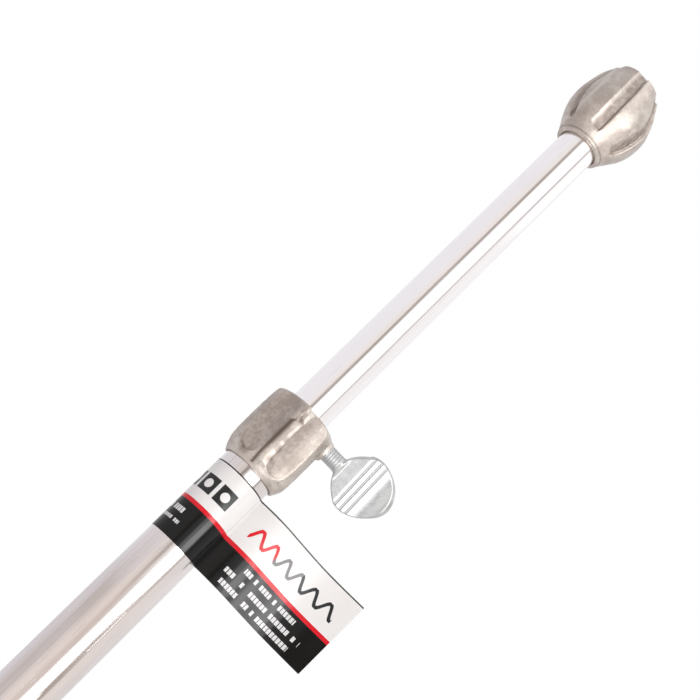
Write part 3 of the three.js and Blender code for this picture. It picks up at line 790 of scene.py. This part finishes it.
def make_bush():
    """A spigot that plugs the inner tube, a flange with shallow ribs, and a dimple from moulding below."""
    low, high = node_span("foot_bush")
    flange = high.x
    spigot = INNER_RADIUS - TUBE_WALL - BUSH_GAP
    flange_top = INNER_LOW.z - 0.05
    profile = [(0.6, low.z + 0.8), (1.6, low.z + 0.8), (2.2, low.z)] + low_rim(flange, low.z, 0.5)
    for rib in range(BUSH_RIBS):
        at = mix(low.z, flange_top, (rib + 1) / (BUSH_RIBS + 1))
        inside = flange - 0.3
        profile += [(flange, at - 0.5), (inside, at - 0.3), (inside, at + 0.3), (flange, at + 0.5)]
    profile += high_rim(flange, flange_top, 0.2) + [(spigot, flange_top)]
    profile += high_rim(spigot, high.z, 0.8) + [(1.0, high.z)]
    return skin("nylon_foot_bush", turned_rows(profile, BUSH_COLUMNS))


# Spiral point
POINT_LOW, POINT_HIGH = node_span("spiral_point")
POINT_LENGTH = -POINT_LOW.z
PLUG_LENGTH = POINT_HIGH.z
POINT_SHOULDER = 4.0
POINT_CORE = 5.6
POINT_TIP = 0.8
POINT_TIP_LENGTH = 4.0
POINT_TIP_ROUND = 0.7
FLIGHT_PITCH = 20.0
FLIGHT_TURNS = 3.25
FLIGHT_START = 9.0
FLIGHT_HEIGHT = 4.2
FLIGHT_ROOT = 3.2
FLIGHT_EDGE = 1.4
FLIGHT_CROWN = 0.25
FLIGHT_FILLET = 0.35
FLIGHT_RUN = (0, FLIGHT_TURNS / 3, FLIGHT_TURNS * 0.88, FLIGHT_TURNS)
POINT_COLUMNS = 144
POINT_ROW_STEP = 0.3


def point_core(height):
    tip_top = POINT_TIP_LENGTH - POINT_LENGTH
    if height < tip_top:
        return mix(POINT_TIP, 2 * POINT_TIP, (height + POINT_LENGTH) / POINT_TIP_LENGTH)
    return mix(2 * POINT_TIP, POINT_CORE, (height - tip_top) / (-POINT_SHOULDER - tip_top))


def flight_reach(angle, height):
    """How far from the axis the flight reaches at this place, or 0 between its turns."""
    winding = angle / (2 * pi)
    turns = round((height - FLIGHT_START + POINT_LENGTH) / FLIGHT_PITCH - winding) + winding
    if turns < 0 or turns > FLIGHT_TURNS:
        return 0.0
    rise = plateau(turns, *FLIGHT_RUN)
    away = abs(height - (FLIGHT_START - POINT_LENGTH + turns * FLIGHT_PITCH))
    root, edge = FLIGHT_ROOT / 2, FLIGHT_EDGE / 2
    if away > root or FLIGHT_HEIGHT * rise < 0.02:
        return 0.0
    share = min((root - away) / (root - edge), 1.0)
    crown = FLIGHT_CROWN * min((away / edge) ** 2, 1.0)
    return point_core(height) + max(FLIGHT_HEIGHT * rise * share - crown * rise, 0.0)


def make_point():
    rows = []
    for height in np.arange(-POINT_LENGTH, -POINT_SHOULDER - 1.0, POINT_ROW_STEP):
        row = []
        above_tip = (height + POINT_LENGTH) / POINT_TIP_ROUND
        for angle in round_angles(POINT_COLUMNS):
            radius = soft_max(point_core(height), flight_reach(angle, height), FLIGHT_FILLET)
            if above_tip < 1:
                radius *= sqrt(max(1 - (1 - above_tip) ** 2, 0.05))
            radius += grain(*polar(radius, angle), height, POINT_SEED)
            row.append((*polar(radius, angle), height))
        rows.append(row)
    neck = -POINT_SHOULDER
    plug = OUTER_RADIUS - TUBE_WALL - POINT_GAP
    profile = [(POINT_CORE + 0.15, neck - 0.7), (POINT_CORE + 0.8, neck - 0.1)]
    profile += low_rim(OUTER_RADIUS, neck, 0.5) + high_rim(OUTER_RADIUS, 0.05, 0.3)
    profile += [(plug, 0.05), (plug, PLUG_LENGTH - 1.5), (plug - 1.5, PLUG_LENGTH)]
    profile.append((1.0, PLUG_LENGTH))
    rows += turned_rows(profile, POINT_COLUMNS)
    return skin("cast_spiral_point", rows, sharp=40)


# Label
LABEL_LOW, LABEL_HIGH = node_span("label")
LABEL_HEIGHT = LABEL_HIGH.z - LABEL_LOW.z
LABEL_CAD_RADIUS = OUTER_RADIUS + 0.7
FLAG_LENGTH = LABEL_HIGH.x - LABEL_CAD_RADIUS
FLAG_SKEW = 0.8  # how much shorter the flag is at its lower edge
LABEL_RADIUS = OUTER_RADIUS + 0.04
LABEL_SHEET = 0.12
FLAG_LAYER = LABEL_SHEET * 0.55  # from the flag's middle to the middle of each layer
FLAG_WAVE = 2.6
FLAG_COURSE_SHARES = [(0, -0.6), (0.11, -1), (0.23, -0.9), (0.36, -0.2), (0.6, 1), (0.8, 1), (1, 0.45)]
LABEL_ROWS = 40
LABEL_WRAP_COLUMNS = 120
LABEL_FLAG_COLUMNS = 80


def flag_course():
    """The flag's middle line as (x, y), from the tube outwards."""
    points = [(LABEL_CAD_RADIUS + FLAG_LENGTH * a, FLAG_WAVE * b) for a, b in FLAG_COURSE_SHARES]
    points[0] = (LABEL_RADIUS + 0.35, points[0][1])
    return spline(points, LABEL_FLAG_COLUMNS)


def make_label():
    """One strip of vinyl: the flag's front layer, the band round the tube and the flag's back layer."""
    course = flag_course()
    front = [(x, y - FLAG_LAYER) for x, y in reversed(course)]
    back = [(x, y + FLAG_LAYER) for x, y in course]
    gap = course[0][1]
    start = asin((gap - 0.5) / LABEL_RADIUS)
    end = asin((gap + 0.5) / LABEL_RADIUS) - 2 * pi
    band = [polar(LABEL_RADIUS, t) for t in np.linspace(start, end, LABEL_WRAP_COLUMNS)]
    line = np.array(front + band + back)
    ahead = np.gradient(line, axis=0)
    ahead /= np.linalg.norm(ahead, axis=1)[:, None]
    outward = np.stack([-ahead[:, 1], ahead[:, 0]], axis=1)
    along = np.concatenate([[0], np.cumsum(np.linalg.norm(np.diff(line, axis=0), axis=1))])
    vertices, faces = [], []
    for side in (0.5, -0.5):
        for row in range(LABEL_ROWS + 1):
            share = row / LABEL_ROWS
            level = mix(LABEL_LOW.z, LABEL_HIGH.z, share)
            for (x, y), (out_x, out_y) in zip(line, outward * LABEL_SHEET * side):
                shorter = FLAG_SKEW * (1 - share) * max((x - LABEL_RADIUS) / FLAG_LENGTH, 0)
                vertices.append((x - shorter + out_x, y + out_y, level))
    width = len(line)
    depth = (LABEL_ROWS + 1) * width

    def add_quad(start, along, up, flip):
        face = [start, start + along, start + along + up, start + up]
        faces.append(face[::-1] if flip else face)

    for row in range(LABEL_ROWS):
        for column in range(width - 1):
            for side in (0, 1):
                add_quad(side * depth + row * width + column, 1, width, side)
    for column in range(width - 1):
        add_quad(column, depth, 1, False)
        add_quad(LABEL_ROWS * width + column, depth, 1, True)
    for row in range(LABEL_ROWS):
        add_quad(row * width, depth, width, True)
        add_quad((row + 1) * width - 1, depth, width, False)
    label = finish_mesh("vinyl_label", vertices, faces, sharp=50)
    layer = label.data.uv_layers.new(name="print")
    for loop in label.data.loops:
        row, column = divmod(loop.vertex_index, width)
        layer.data[loop.index].uv = along[column], LABEL_HEIGHT * (row % (LABEL_ROWS + 1)) / LABEL_ROWS
    label["crease"] = along[len(front)]
    return label


# Materials
def operation(name):
    """A method of Value that makes a node."""
    return lambda value, other: value.shader.math(name, value, other)


class Value:
    """What a node gives. Sums and comparisons of it make further nodes."""

    def __init__(self, shader, socket):
        self.shader, self.socket = shader, socket

    __add__, __sub__, __mul__ = operation("ADD"), operation("SUBTRACT"), operation("MULTIPLY")
    __truediv__, __lt__, __gt__ = operation("DIVIDE"), operation("LESS_THAN"), operation("GREATER_THAN")

    def __rsub__(self, other):
        return self.shader.math("SUBTRACT", other, self)


class Shader:
    """The nodes of a material or a world, with short calls for those that this scene uses."""

    def __init__(self, name, world=False, **settings):
        self.owner = (bpy.data.worlds if world else bpy.data.materials).new(name)
        self.owner.use_nodes = True
        self.tree = self.owner.node_tree
        self.surface = self.tree.nodes["Background" if world else "Principled BSDF"]
        for socket, value in settings.items():
            self.feed(self.surface.inputs[socket.replace("_", " ")], value)
        self.place = self.made("ShaderNodeTexCoord", output="Generated" if world else "Object")

    def node(self, kind, inputs=(), **settings):
        """A new node with its settings, and its inputs by number or by name."""
        node = self.tree.nodes.new(kind)
        for name, value in settings.items():
            setattr(node, name, value)
        for key, value in inputs.items() if isinstance(inputs, dict) else enumerate(inputs):
            self.feed(node.inputs[key], value)
        return node

    def made(self, kind, inputs=(), output=0, **settings):
        return Value(self, self.node(kind, inputs, **settings).outputs[output])

    def feed(self, socket, value):
        if isinstance(value, Value):
            self.tree.links.new(value.socket, socket)
        else:
            socket.default_value = (*value, 1.0) if socket.type == "RGBA" else value

    def math(self, operation, *values, clamp=False):
        return self.made("ShaderNodeMath", values, operation=operation, use_clamp=clamp)

    def parts(self, vector):
        """The x, y and z of a vector."""
        return [Value(self, part) for part in self.node("ShaderNodeSeparateXYZ", (vector,)).outputs]

    def step(self, value, low, high, to_low=0.0, to_high=1.0):
        inputs = (value, low, high, to_low, to_high)
        return self.made("ShaderNodeMapRange", inputs, interpolation_type="SMOOTHSTEP")

    def window(self, value, low, high, edge):
        """1 between two values and 0 outside, with soft edges."""
        rise = self.step(value, low - edge, low + edge)
        return rise * self.step(value, high - edge, high + edge, 1.0, 0.0)

    def between(self, value, low, high):
        return (value > low) * (value < high)

    def mix(self, share, a, b, blend="MIX"):
        inputs = {"Factor": share, 6: a, 7: b}
        return self.made("ShaderNodeMix", inputs, 2, data_type="RGBA", blend_type=blend)

    def stretched(self, scale, turn=(0, 0, 0)):
        return self.made("ShaderNodeMapping", {"Vector": self.place, "Scale": scale, "Rotation": turn})

    def noise(self, scale, detail, roughness, vector=None):
        inputs = {"Vector": vector or self.place, "Scale": scale, "Detail": detail, "Roughness": roughness}
        return self.made("ShaderNodeTexNoise", inputs)

    def bump(self, height, distance, strength, under=None):
        inputs = {"Height": height, "Distance": distance, "Strength": strength}
        if under:
            inputs["Normal"] = under
        return self.made("ShaderNodeBump", inputs)

    def finish(self, colour, roughness, normal):
        for name, value in (("Base Color", colour), ("Roughness", roughness), ("Normal", normal)):
            self.feed(self.surface.inputs[name], value)
        return self.owner


# Colours, roughness and grain of the metals and nylons
OUTER_LIGHT, OUTER_DARK = (0.82, 0.78, 0.775), (0.72, 0.665, 0.645)
INNER_LIGHT, INNER_DARK = (0.96, 0.94, 0.94), (0.935, 0.908, 0.904)
OUTER_ROUGHNESS, INNER_ROUGHNESS = (0.1, 0.2), (0.08, 0.15)
OUTER_SCRATCHES, INNER_SCRATCHES = 0.8, 0.2
LINE_STRETCH, BLOTCH_STRETCH, SCRATCH_STRETCH = (1400, 1400, 14), (90, 90, 28), (1500, 1500, 60)
LINE_SHARE = 0.45
SCRATCH_FIELDS = [((0.5, 0.3, 0.0), 0.665), ((-0.7, 0.5, 0.4), 0.675)]  # turn and threshold
SCRATCH_TONE = (0.62, 0.6, 0.6)
SCRATCH_ROUGHNESS = 0.25
CAST_LIGHT, CAST_MIDDLE, CAST_DARK = (0.58, 0.532, 0.482), (0.465, 0.408, 0.37), (0.37, 0.316, 0.284)
CAST_ROUGHNESS = (0.5, 0.37)  # where it's dull and where it's worn
SAND_ROUGHNESS = 0.08
CLOUD_SHARE = 0.65
WEAR_AND_HIGHLIGHT_TONE = 0.18
HOLLOW_MOTTLE = 0.5
SHADE_AND_DIRT_COLOUR = (0.13, 0.1, 0.085)
ZINC_LIGHT, ZINC_DARK, ZINC_DULL = (0.53, 0.535, 0.53), (0.46, 0.467, 0.464), (0.425, 0.432, 0.432)
ZINC_ROUGHNESS = (0.3, 0.36)
DULL_ROUGHNESS = 0.15
PAD_COLOUR, PAD_SHADE = (0.84, 0.83, 0.79), (0.78, 0.76, 0.71)
BUSH_COLOUR, BUSH_SHADE = (0.03, 0.03, 0.034), (0.018, 0.018, 0.02)
NYLON_ROUGHNESS = (0.4, 0.55)


def drawn_aluminium(name, light, dark, roughness, scratches):
    """Bright drawn tube: fine lines along it, a few scratches across them."""
    s = Shader(name, Metallic=1.0)
    lines = s.noise(1.0, 4.0, 0.6, s.stretched(LINE_STRETCH))
    blotches = s.noise(1.0, 3.0, 0.55, s.stretched(BLOTCH_STRETCH))
    colour = s.mix(s.step(lines * LINE_SHARE + blotches * (1 - LINE_SHARE), 0.35, 0.65), dark, light)
    scratch = 0.0
    for turn, threshold in SCRATCH_FIELDS:
        field = s.noise(1.0, 2.0, 0.5, s.stretched(SCRATCH_STRETCH, turn))
        scratch = s.math("MAXIMUM", scratch, s.step(field, threshold, threshold + 0.05))
    scratch = scratch * scratches
    rough = s.step(blotches, 0.3, 0.7, *roughness) + scratch * SCRATCH_ROUGHNESS
    normal = s.bump(lines, 0.00001, 0.3, s.bump(scratch, 0.00002, 0.5))
    return s.finish(s.mix(scratch, colour, SCRATCH_TONE), rough, normal)


def cast_metal(name):
    """Rough die casting: a cloudy, sandy skin, worn brighter where it's handled, lighter or darker where
    light and shade are painted into it, and dirty in the gate's scar.
    """
    s = Shader(name, Metallic=1.0)
    wear_and_shading = s.made("ShaderNodeAttribute", output="Fac", attribute_name="wear_and_shading")
    wear_and_highlight = s.math("MAXIMUM", wear_and_shading, 0.0)
    cloud, sand = s.noise(190.0, 5.0, 0.6), s.noise(1500.0, 4.0, 0.6)
    mottle = (s.noise(800.0, 3.0, 0.6) - 0.5) * HOLLOW_MOTTLE
    tone = cloud * CLOUD_SHARE + sand * (1 - CLOUD_SHARE) + (wear_and_highlight - 0.5) * WEAR_AND_HIGHLIGHT_TONE + mottle * (1 - wear_and_highlight)
    colour = s.mix(s.step(tone, 0.34, 0.5), CAST_DARK, CAST_MIDDLE)
    colour = s.mix(s.step(tone, 0.5, 0.66), colour, CAST_LIGHT)
    # Painted shade, and the dirt in the gate's scar, darken towards this colour.
    colour = s.mix(s.step(wear_and_shading, -0.9, 0.0, 1.0, 0.0), colour, SHADE_AND_DIRT_COLOUR)
    rough = s.step(sand, 0.3, 0.7, 0.0, SAND_ROUGHNESS) + s.step(wear_and_shading, 0.0, 1.0, *CAST_ROUGHNESS)
    return s.finish(colour, rough, s.bump(sand, 0.00004, 0.35))


def zinc_plate(name):
    """Bright zinc, duller in the grooves."""
    s = Shader(name, Metallic=1.0)
    wear_and_shading = s.made("ShaderNodeAttribute", output="Fac", attribute_name="wear_and_shading")
    cloud, fine = s.noise(420.0, 4.0, 0.6), s.noise(2600.0, 3.0, 0.6)
    colour = s.mix(s.step(cloud, 0.35, 0.65), ZINC_DARK, ZINC_LIGHT)
    colour = s.mix(s.step(wear_and_shading, -0.7, 0.0, 1.0, 0.0), colour, ZINC_DULL)
    rough = s.step(cloud, 0.3, 0.7, *ZINC_ROUGHNESS) + s.step(wear_and_shading, -0.7, 0.0, DULL_ROUGHNESS, 0.0)
    return s.finish(colour, rough, s.bump(fine, 0.00003, 0.08))


def moulded_nylon(name, colour, shade):
    s = Shader(name, Specular_IOR_Level=0.45)
    cloud, fine = s.noise(260.0, 3.0, 0.5), s.noise(2400.0, 3.0, 0.6)
    rough = s.step(fine, 0.3, 0.7, *NYLON_ROUGHNESS)
    return s.finish(s.mix(s.step(cloud, 0.35, 0.65), shade, colour), rough, s.bump(fine, 0.00004, 0.4))


# Print on the label, and a painted shadow along its top edge, in millimetres along the strip and up it
PAPER = (0.63, 0.612, 0.604)
INK_BLACK = (0.004, 0.004, 0.004)
INK_RED = (0.54, 0.01, 0.019)
INK_GREY = (0.15, 0.146, 0.15)
INK_LIGHT = (0.56, 0.55, 0.555)
# Dark print, and the colour of the painted shadow along the top edge
INK_DARK, INK_SQUARE, EDGE_SHADOW_COLOUR = (0.02, 0.02, 0.022), (0.018, 0.018, 0.019), (0.03, 0.028, 0.028)
VINYL_ROUGHNESS = (0.09, 0.15)
RED_LINE = (10.6, 11.8)
# Width of the painted shadow along the label's top edge
EDGE_SHADOW_WIDTH = 0.4
WAVE_MIDDLE = 17.4
WAVE_HEIGHT = 1.75
WAVE_LENGTH = 5.6
WAVE_STROKE = 0.42
# Where the wave runs and changes colour, from the crease
WAVE_RUN = (4.5, 38.1)
WAVE_RED = 14.5
WAVE_GREY = 24.0
# Rows of plain bars: (middle, height, start, end, bar pitch), start and end counted from the crease
FLAG_BARS = [(8.7, 1.5, 10.8, 31.5, 1.15), (5.4, 1.5, 6.4, 36.4, 1.25), (2.3, 1.5, 7.4, 35.0, 1.2)]
BAND_BARS = [(7.6, 1.6, 15.0, 32.0, 1.1), (4.4, 1.0, 14.0, 34.0, 0.8)]
BARS_FILLED, BAR_SHARE = 0.78, 0.8
# Plain squares on the band: start and end counted round the band from the crease
BAND_SQUARES = [(7.4, 12.6), (13.7, 18.9), (20.0, 25.1)]
SQUARE_LOW = 14.9
SQUARE_HIGH = 20.1
DOT_RADIUS = 1.35


def vinyl_print(name, crease):
    """Printed vinyl: crease is how far along the strip the flag's front meets the band."""
    s = Shader(name, Roughness=0.2, Specular_IOR_Level=0.27)
    u, v, _ = s.parts(s.made("ShaderNodeUVMap", uv_map="print"))
    from_crease, round_band = crease - u, u - crease
    colour = s.mix(v < RED_LINE[0], PAPER, INK_BLACK)
    colour = s.mix(s.between(v, *RED_LINE), colour, INK_RED)

    turns = from_crease * (2 * pi / WAVE_LENGTH)
    off_wave = s.math("ABSOLUTE", v - WAVE_MIDDLE - s.math("SINE", turns) * WAVE_HEIGHT)
    slope = 2 * pi / WAVE_LENGTH * WAVE_HEIGHT
    reach = (s.math("ABSOLUTE", s.math("COSINE", turns)) * (slope - 0.5) + 1.0) * WAVE_STROKE
    ink = s.mix(from_crease > WAVE_RED, INK_RED, INK_GREY)
    ink = s.mix(from_crease > WAVE_GREY, ink, INK_DARK)
    colour = s.mix((off_wave < reach) * s.between(from_crease, *WAVE_RUN), colour, ink)

    for rows, along in ((FLAG_BARS, from_crease), (BAND_BARS, round_band)):
        for middle, height, start, end, pitch in rows:
            cell = {"W": s.math("FLOOR", along / pitch) + middle}
            chance = s.made("ShaderNodeTexWhiteNoise", cell, "Value", noise_dimensions="1D")
            bar = (chance < BARS_FILLED) * (s.math("FRACT", along / pitch) < BAR_SHARE)
            bar = bar * s.between(along, start, end)
            bar = bar * s.between(v, middle - height / 2, middle + height / 2)
            colour = s.mix(bar, colour, INK_LIGHT)

    for start, end in BAND_SQUARES:
        square = s.between(round_band, start, end) * s.between(v, SQUARE_LOW, SQUARE_HIGH)
        across, up = round_band - (start + end) / 2, v - (SQUARE_LOW + SQUARE_HIGH) / 2
        dot = s.math("SQRT", across * across + up * up) < DOT_RADIUS
        colour = s.mix(s.math("SUBTRACT", square, dot, clamp=True), colour, INK_SQUARE)
    # Painted shadow along the top edge.
    colour = s.mix(v > LABEL_HEIGHT - EDGE_SHADOW_WIDTH, colour, EDGE_SHADOW_COLOUR)
    ripple = s.noise(160.0, 2.0, 0.5)
    return s.finish(colour, s.step(ripple, 0.3, 0.7, *VINYL_ROUGHNESS), s.bump(ripple, 0.0002, 0.15))


# Studio
BACKGROUND = (1.0, 1.0, 1.0)
# Light round the stick, as (degrees right of the camera's side, colour), from straight behind on the left
STUDIO = [
    (-180, (0.9, 0.9, 0.93)), (-110, (0.88, 0.87, 0.91)), (-46, (0.88, 0.86, 0.88)),
    (-26, (0.9, 0.84, 0.81)), (-20, (0.82, 0.76, 0.72)), (-15, (0.42, 0.37, 0.34)),
    (-8, (0.4, 0.36, 0.33)), (-3, (0.9, 0.88, 0.86)), (3, (1.1, 1.1, 1.1)), (52, (1.1, 1.1, 1.1)),
    (56, (0.62, 0.59, 0.57)), (61, (0.6, 0.57, 0.55)), (66, (0.93, 0.92, 0.92)), (120, (0.97, 0.96, 0.97)),
    (180, (0.9, 0.9, 0.93)),
]
STUDIO_BELOW = [
    (-180, (0.8, 0.79, 0.82)), (-130, (0.78, 0.76, 0.79)), (-76, (0.68, 0.63, 0.62)),
    (-60, (0.7, 0.65, 0.64)), (-42, (0.9, 0.84, 0.82)), (-26, (1.02, 0.95, 0.91)),
    (-18, (1.0, 0.92, 0.87)), (-10, (0.86, 0.78, 0.73)), (2, (0.79, 0.72, 0.68)), (7, (0.95, 0.9, 0.87)),
    (11, (1.1, 1.1, 1.1)), (39, (1.1, 1.1, 1.1)), (43, (0.5, 0.46, 0.44)), (51, (0.5, 0.46, 0.44)),
    (56, (0.94, 0.88, 0.84)), (76, (0.98, 0.92, 0.89)), (108, (0.9, 0.88, 0.87)), (180, (0.8, 0.79, 0.82)),
]
BELOW = (0.02, 0.07)  # between the lower and the upper walls
KEY_EDGE = 3.0
KEY_LEVEL = 2.6
# The key light's panels: (from and to, in degrees right of the camera's side, from and to in height, level)
KEY_PANELS = [
    (6, 42, -0.52, -0.13, 1.2), (11, 43, -0.13, -0.025, 0.7), (53, 63, -0.13, -0.025, -0.15),
    (12, 36, -0.025, 0.045, 0.7), (14, 50, 0.045, 0.155, 1.4), (3, 52, 0.155, 0.225, 0.55),
    (3, 52, 0.225, 0.29, 0.75), (3, 50, 0.29, 0.6, 0.14), (60, 120, -0.52, -0.15, 0.25),
    (70, 130, 0.45, 0.9, 0.15), (27, 47, 0.05, 0.125, 2.2),
]
# Overhead: (from and to in the direction's x, from in its height, level)
TOP_PANEL = (0.05, 0.34, 0.6, 0.55)
PANEL_EDGE = 0.02  # half the width of the soft edges
TOP_EDGE = 0.05
# The key and fill light as the floor gives them back, in the same degrees
FLOOR_KEY = (17, 50)
FLOOR_KEY_EDGE = 7
FLOOR_FILL = (-65, -14)
FLOOR_FILL_LEVEL = 0.6
DOME = (0.975, 0.995)  # between the walls and the zenith
ZENITH = (0.9, 0.9, 0.9)


def key_sector(s, turn, start, end, edge=KEY_EDGE):
    """1 between two azimuths, 0 outside."""
    return s.window(turn, radians(start), radians(end), radians(edge))


def ramp(s, turn, stops):
    """A colour for each azimuth."""
    node = s.node("ShaderNodeValToRGB", (turn / (2 * pi) + 0.5,))
    elements = node.color_ramp.elements
    elements.remove(elements[1])
    for index, (degrees, colour) in enumerate(stops):
        position = degrees / 360 + 0.5
        element = elements.new(position) if index else elements[0]
        element.position = position
        element.color = (*colour, 1.0)
    return Value(s, node.outputs[0])


def make_studio():
    s = Shader("studio", world=True, Strength=1.0)
    bpy.context.scene.world = s.owner
    x, y, z = s.parts(s.place)
    turn = s.math("ARCTAN2", x, y * -1.0)
    key = 0.0
    for start, end, low, high, level in KEY_PANELS:
        panel = s.window(z, low, high, PANEL_EDGE) * (level * KEY_LEVEL)
        key = key_sector(s, turn, start, end) * panel + key
    left, right, low, level = TOP_PANEL
    top = s.step(z, low - PANEL_EDGE, low + PANEL_EDGE, 0.0, level * KEY_LEVEL)
    key = top * s.window(x, left, right, TOP_EDGE) * s.step(y, 0.0, 0.1, 1.0, 0.0) + key
    walls = s.mix(s.step(z, *BELOW), ramp(s, turn, STUDIO_BELOW), ramp(s, turn, STUDIO))
    light = s.mix(1.0, s.mix(s.step(z, *DOME), walls, ZENITH), key, "ADD")
    rays = [s.made("ShaderNodeLightPath", output=f"Is {kind} Ray") for kind in ("Camera", "Transmission")]
    s.feed(s.surface.inputs["Color"], s.mix(s.math("MAXIMUM", *rays), light, BACKGROUND))


FLOOR_RADIUS = 1100.0
FLOOR_GAP = 0.3
FLOOR_COLUMNS = 96
FLOOR_COLOUR = (0.86, 0.86, 0.86)
FLOOR_FADE = (0.35, 0.6)
FLOOR_GLOW = 0.95  # as mirrored in the stick, away from the key light


def make_floor():
    level = POINT_LOW.z - FLOOR_GAP
    rows = turned_rows([(FLOOR_RADIUS * share, level) for share in (1.0, 0.6, 0.3, 0.1)], FLOOR_COLUMNS)
    floor = skin("studio_floor", rows, caps=(-1,))
    s = Shader("pale floor", Base_Color=FLOOR_COLOUR, Roughness=0.7, Specular_IOR_Level=0.2)
    x, y, _ = s.parts(s.place)
    turn = s.math("ARCTAN2", x, y * -1.0)
    mirrored = key_sector(s, turn, *FLOOR_KEY, FLOOR_KEY_EDGE) * KEY_LEVEL + FLOOR_GLOW
    mirrored = key_sector(s, turn, *FLOOR_FILL) * FLOOR_FILL_LEVEL + mirrored
    seen = s.made("ShaderNodeLightPath", output="Is Camera Ray")
    glow = s.made("ShaderNodeEmission", {"Strength": mirrored * (1 - seen) + seen})
    away = s.made("ShaderNodeVectorMath", (s.place,), "Value", operation="LENGTH")
    pale = Value(s, s.surface.outputs[0])
    blend = s.made("ShaderNodeMixShader", (s.step(away, *FLOOR_FADE), pale, glow))
    s.feed(s.tree.nodes["Material Output"].inputs[0], blend)
    floor.data.materials.append(s.owner)


# Camera: where it stands, and its right, up and backward directions
STICK_RIGHT = 0.71581
STICK_UP = 0.69830
CAMERA_PITCH = radians(16.7)
CAMERA_PLACE = Vector((-4.36, -323.70, 302.19))
CAMERA_LENS = 61.71
CAMERA_SENSOR = 36.0


def make_camera():
    sine, cosine = sin(CAMERA_PITCH), cos(CAMERA_PITCH)
    right = Vector((STICK_UP, -STICK_RIGHT * sine, STICK_RIGHT * cosine))
    up = Vector((-STICK_RIGHT, -STICK_UP * sine, STICK_UP * cosine))
    back = right.cross(up)
    data = bpy.data.cameras.new("camera")
    data.lens = CAMERA_LENS
    data.sensor_width = CAMERA_SENSOR
    data.clip_start = 0.01
    camera = bpy.data.objects.new("camera", data)
    bpy.context.collection.objects.link(camera)
    turned = Matrix((right, up, back)).transposed().to_4x4()
    camera.matrix_world = Matrix.Translation(CAMERA_PLACE * MM) @ turned
    bpy.context.scene.camera = camera


def place(piece, body, node, material):
    piece.data.materials.clear()
    piece.data.materials.append(material)
    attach(piece, body)
    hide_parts(node)


make_camera()
make_studio()
make_floor()

outer_metal = drawn_aluminium("drawn outer tube", OUTER_LIGHT, OUTER_DARK, OUTER_ROUGHNESS, OUTER_SCRATCHES)
inner_metal = drawn_aluminium("drawn inner tube", INNER_LIGHT, INNER_DARK, INNER_ROUGHNESS, INNER_SCRATCHES)
casting = cast_metal("tumbled die casting")

outer_tube = make_tube("drawn_outer_tube", OUTER_RADIUS, OUTER_LOW.z, OUTER_HIGH.z)
place(outer_tube, "root", "outer_tube", outer_metal)
inner_tube = make_tube("drawn_inner_tube", INNER_RADIUS, INNER_LOW.z, INNER_HIGH.z)
place(inner_tube, "inner_stick", "inner_tube", inner_metal)
place(make_head(), "inner_stick", "head", casting)
place(make_collar(), "root", "clamp_collar", casting)
place(make_screw(), "thumb_screw", "thumb_screw", zinc_plate("bright zinc"))
pad_nylon = moulded_nylon("natural nylon", PAD_COLOUR, PAD_SHADE)
place(make_pad(), "pressure_pad", "pressure_pad", pad_nylon)
bush_nylon = moulded_nylon("black nylon", BUSH_COLOUR, BUSH_SHADE)
place(make_bush(), "foot_bush", "foot_bush", bush_nylon)
place(make_point(), "root", "spiral_point", casting)
label = make_label()
place(label, "root", "label", vinyl_print("printed vinyl", label["crease"]))

bpy.context.scene.view_settings.view_transform = "Standard"
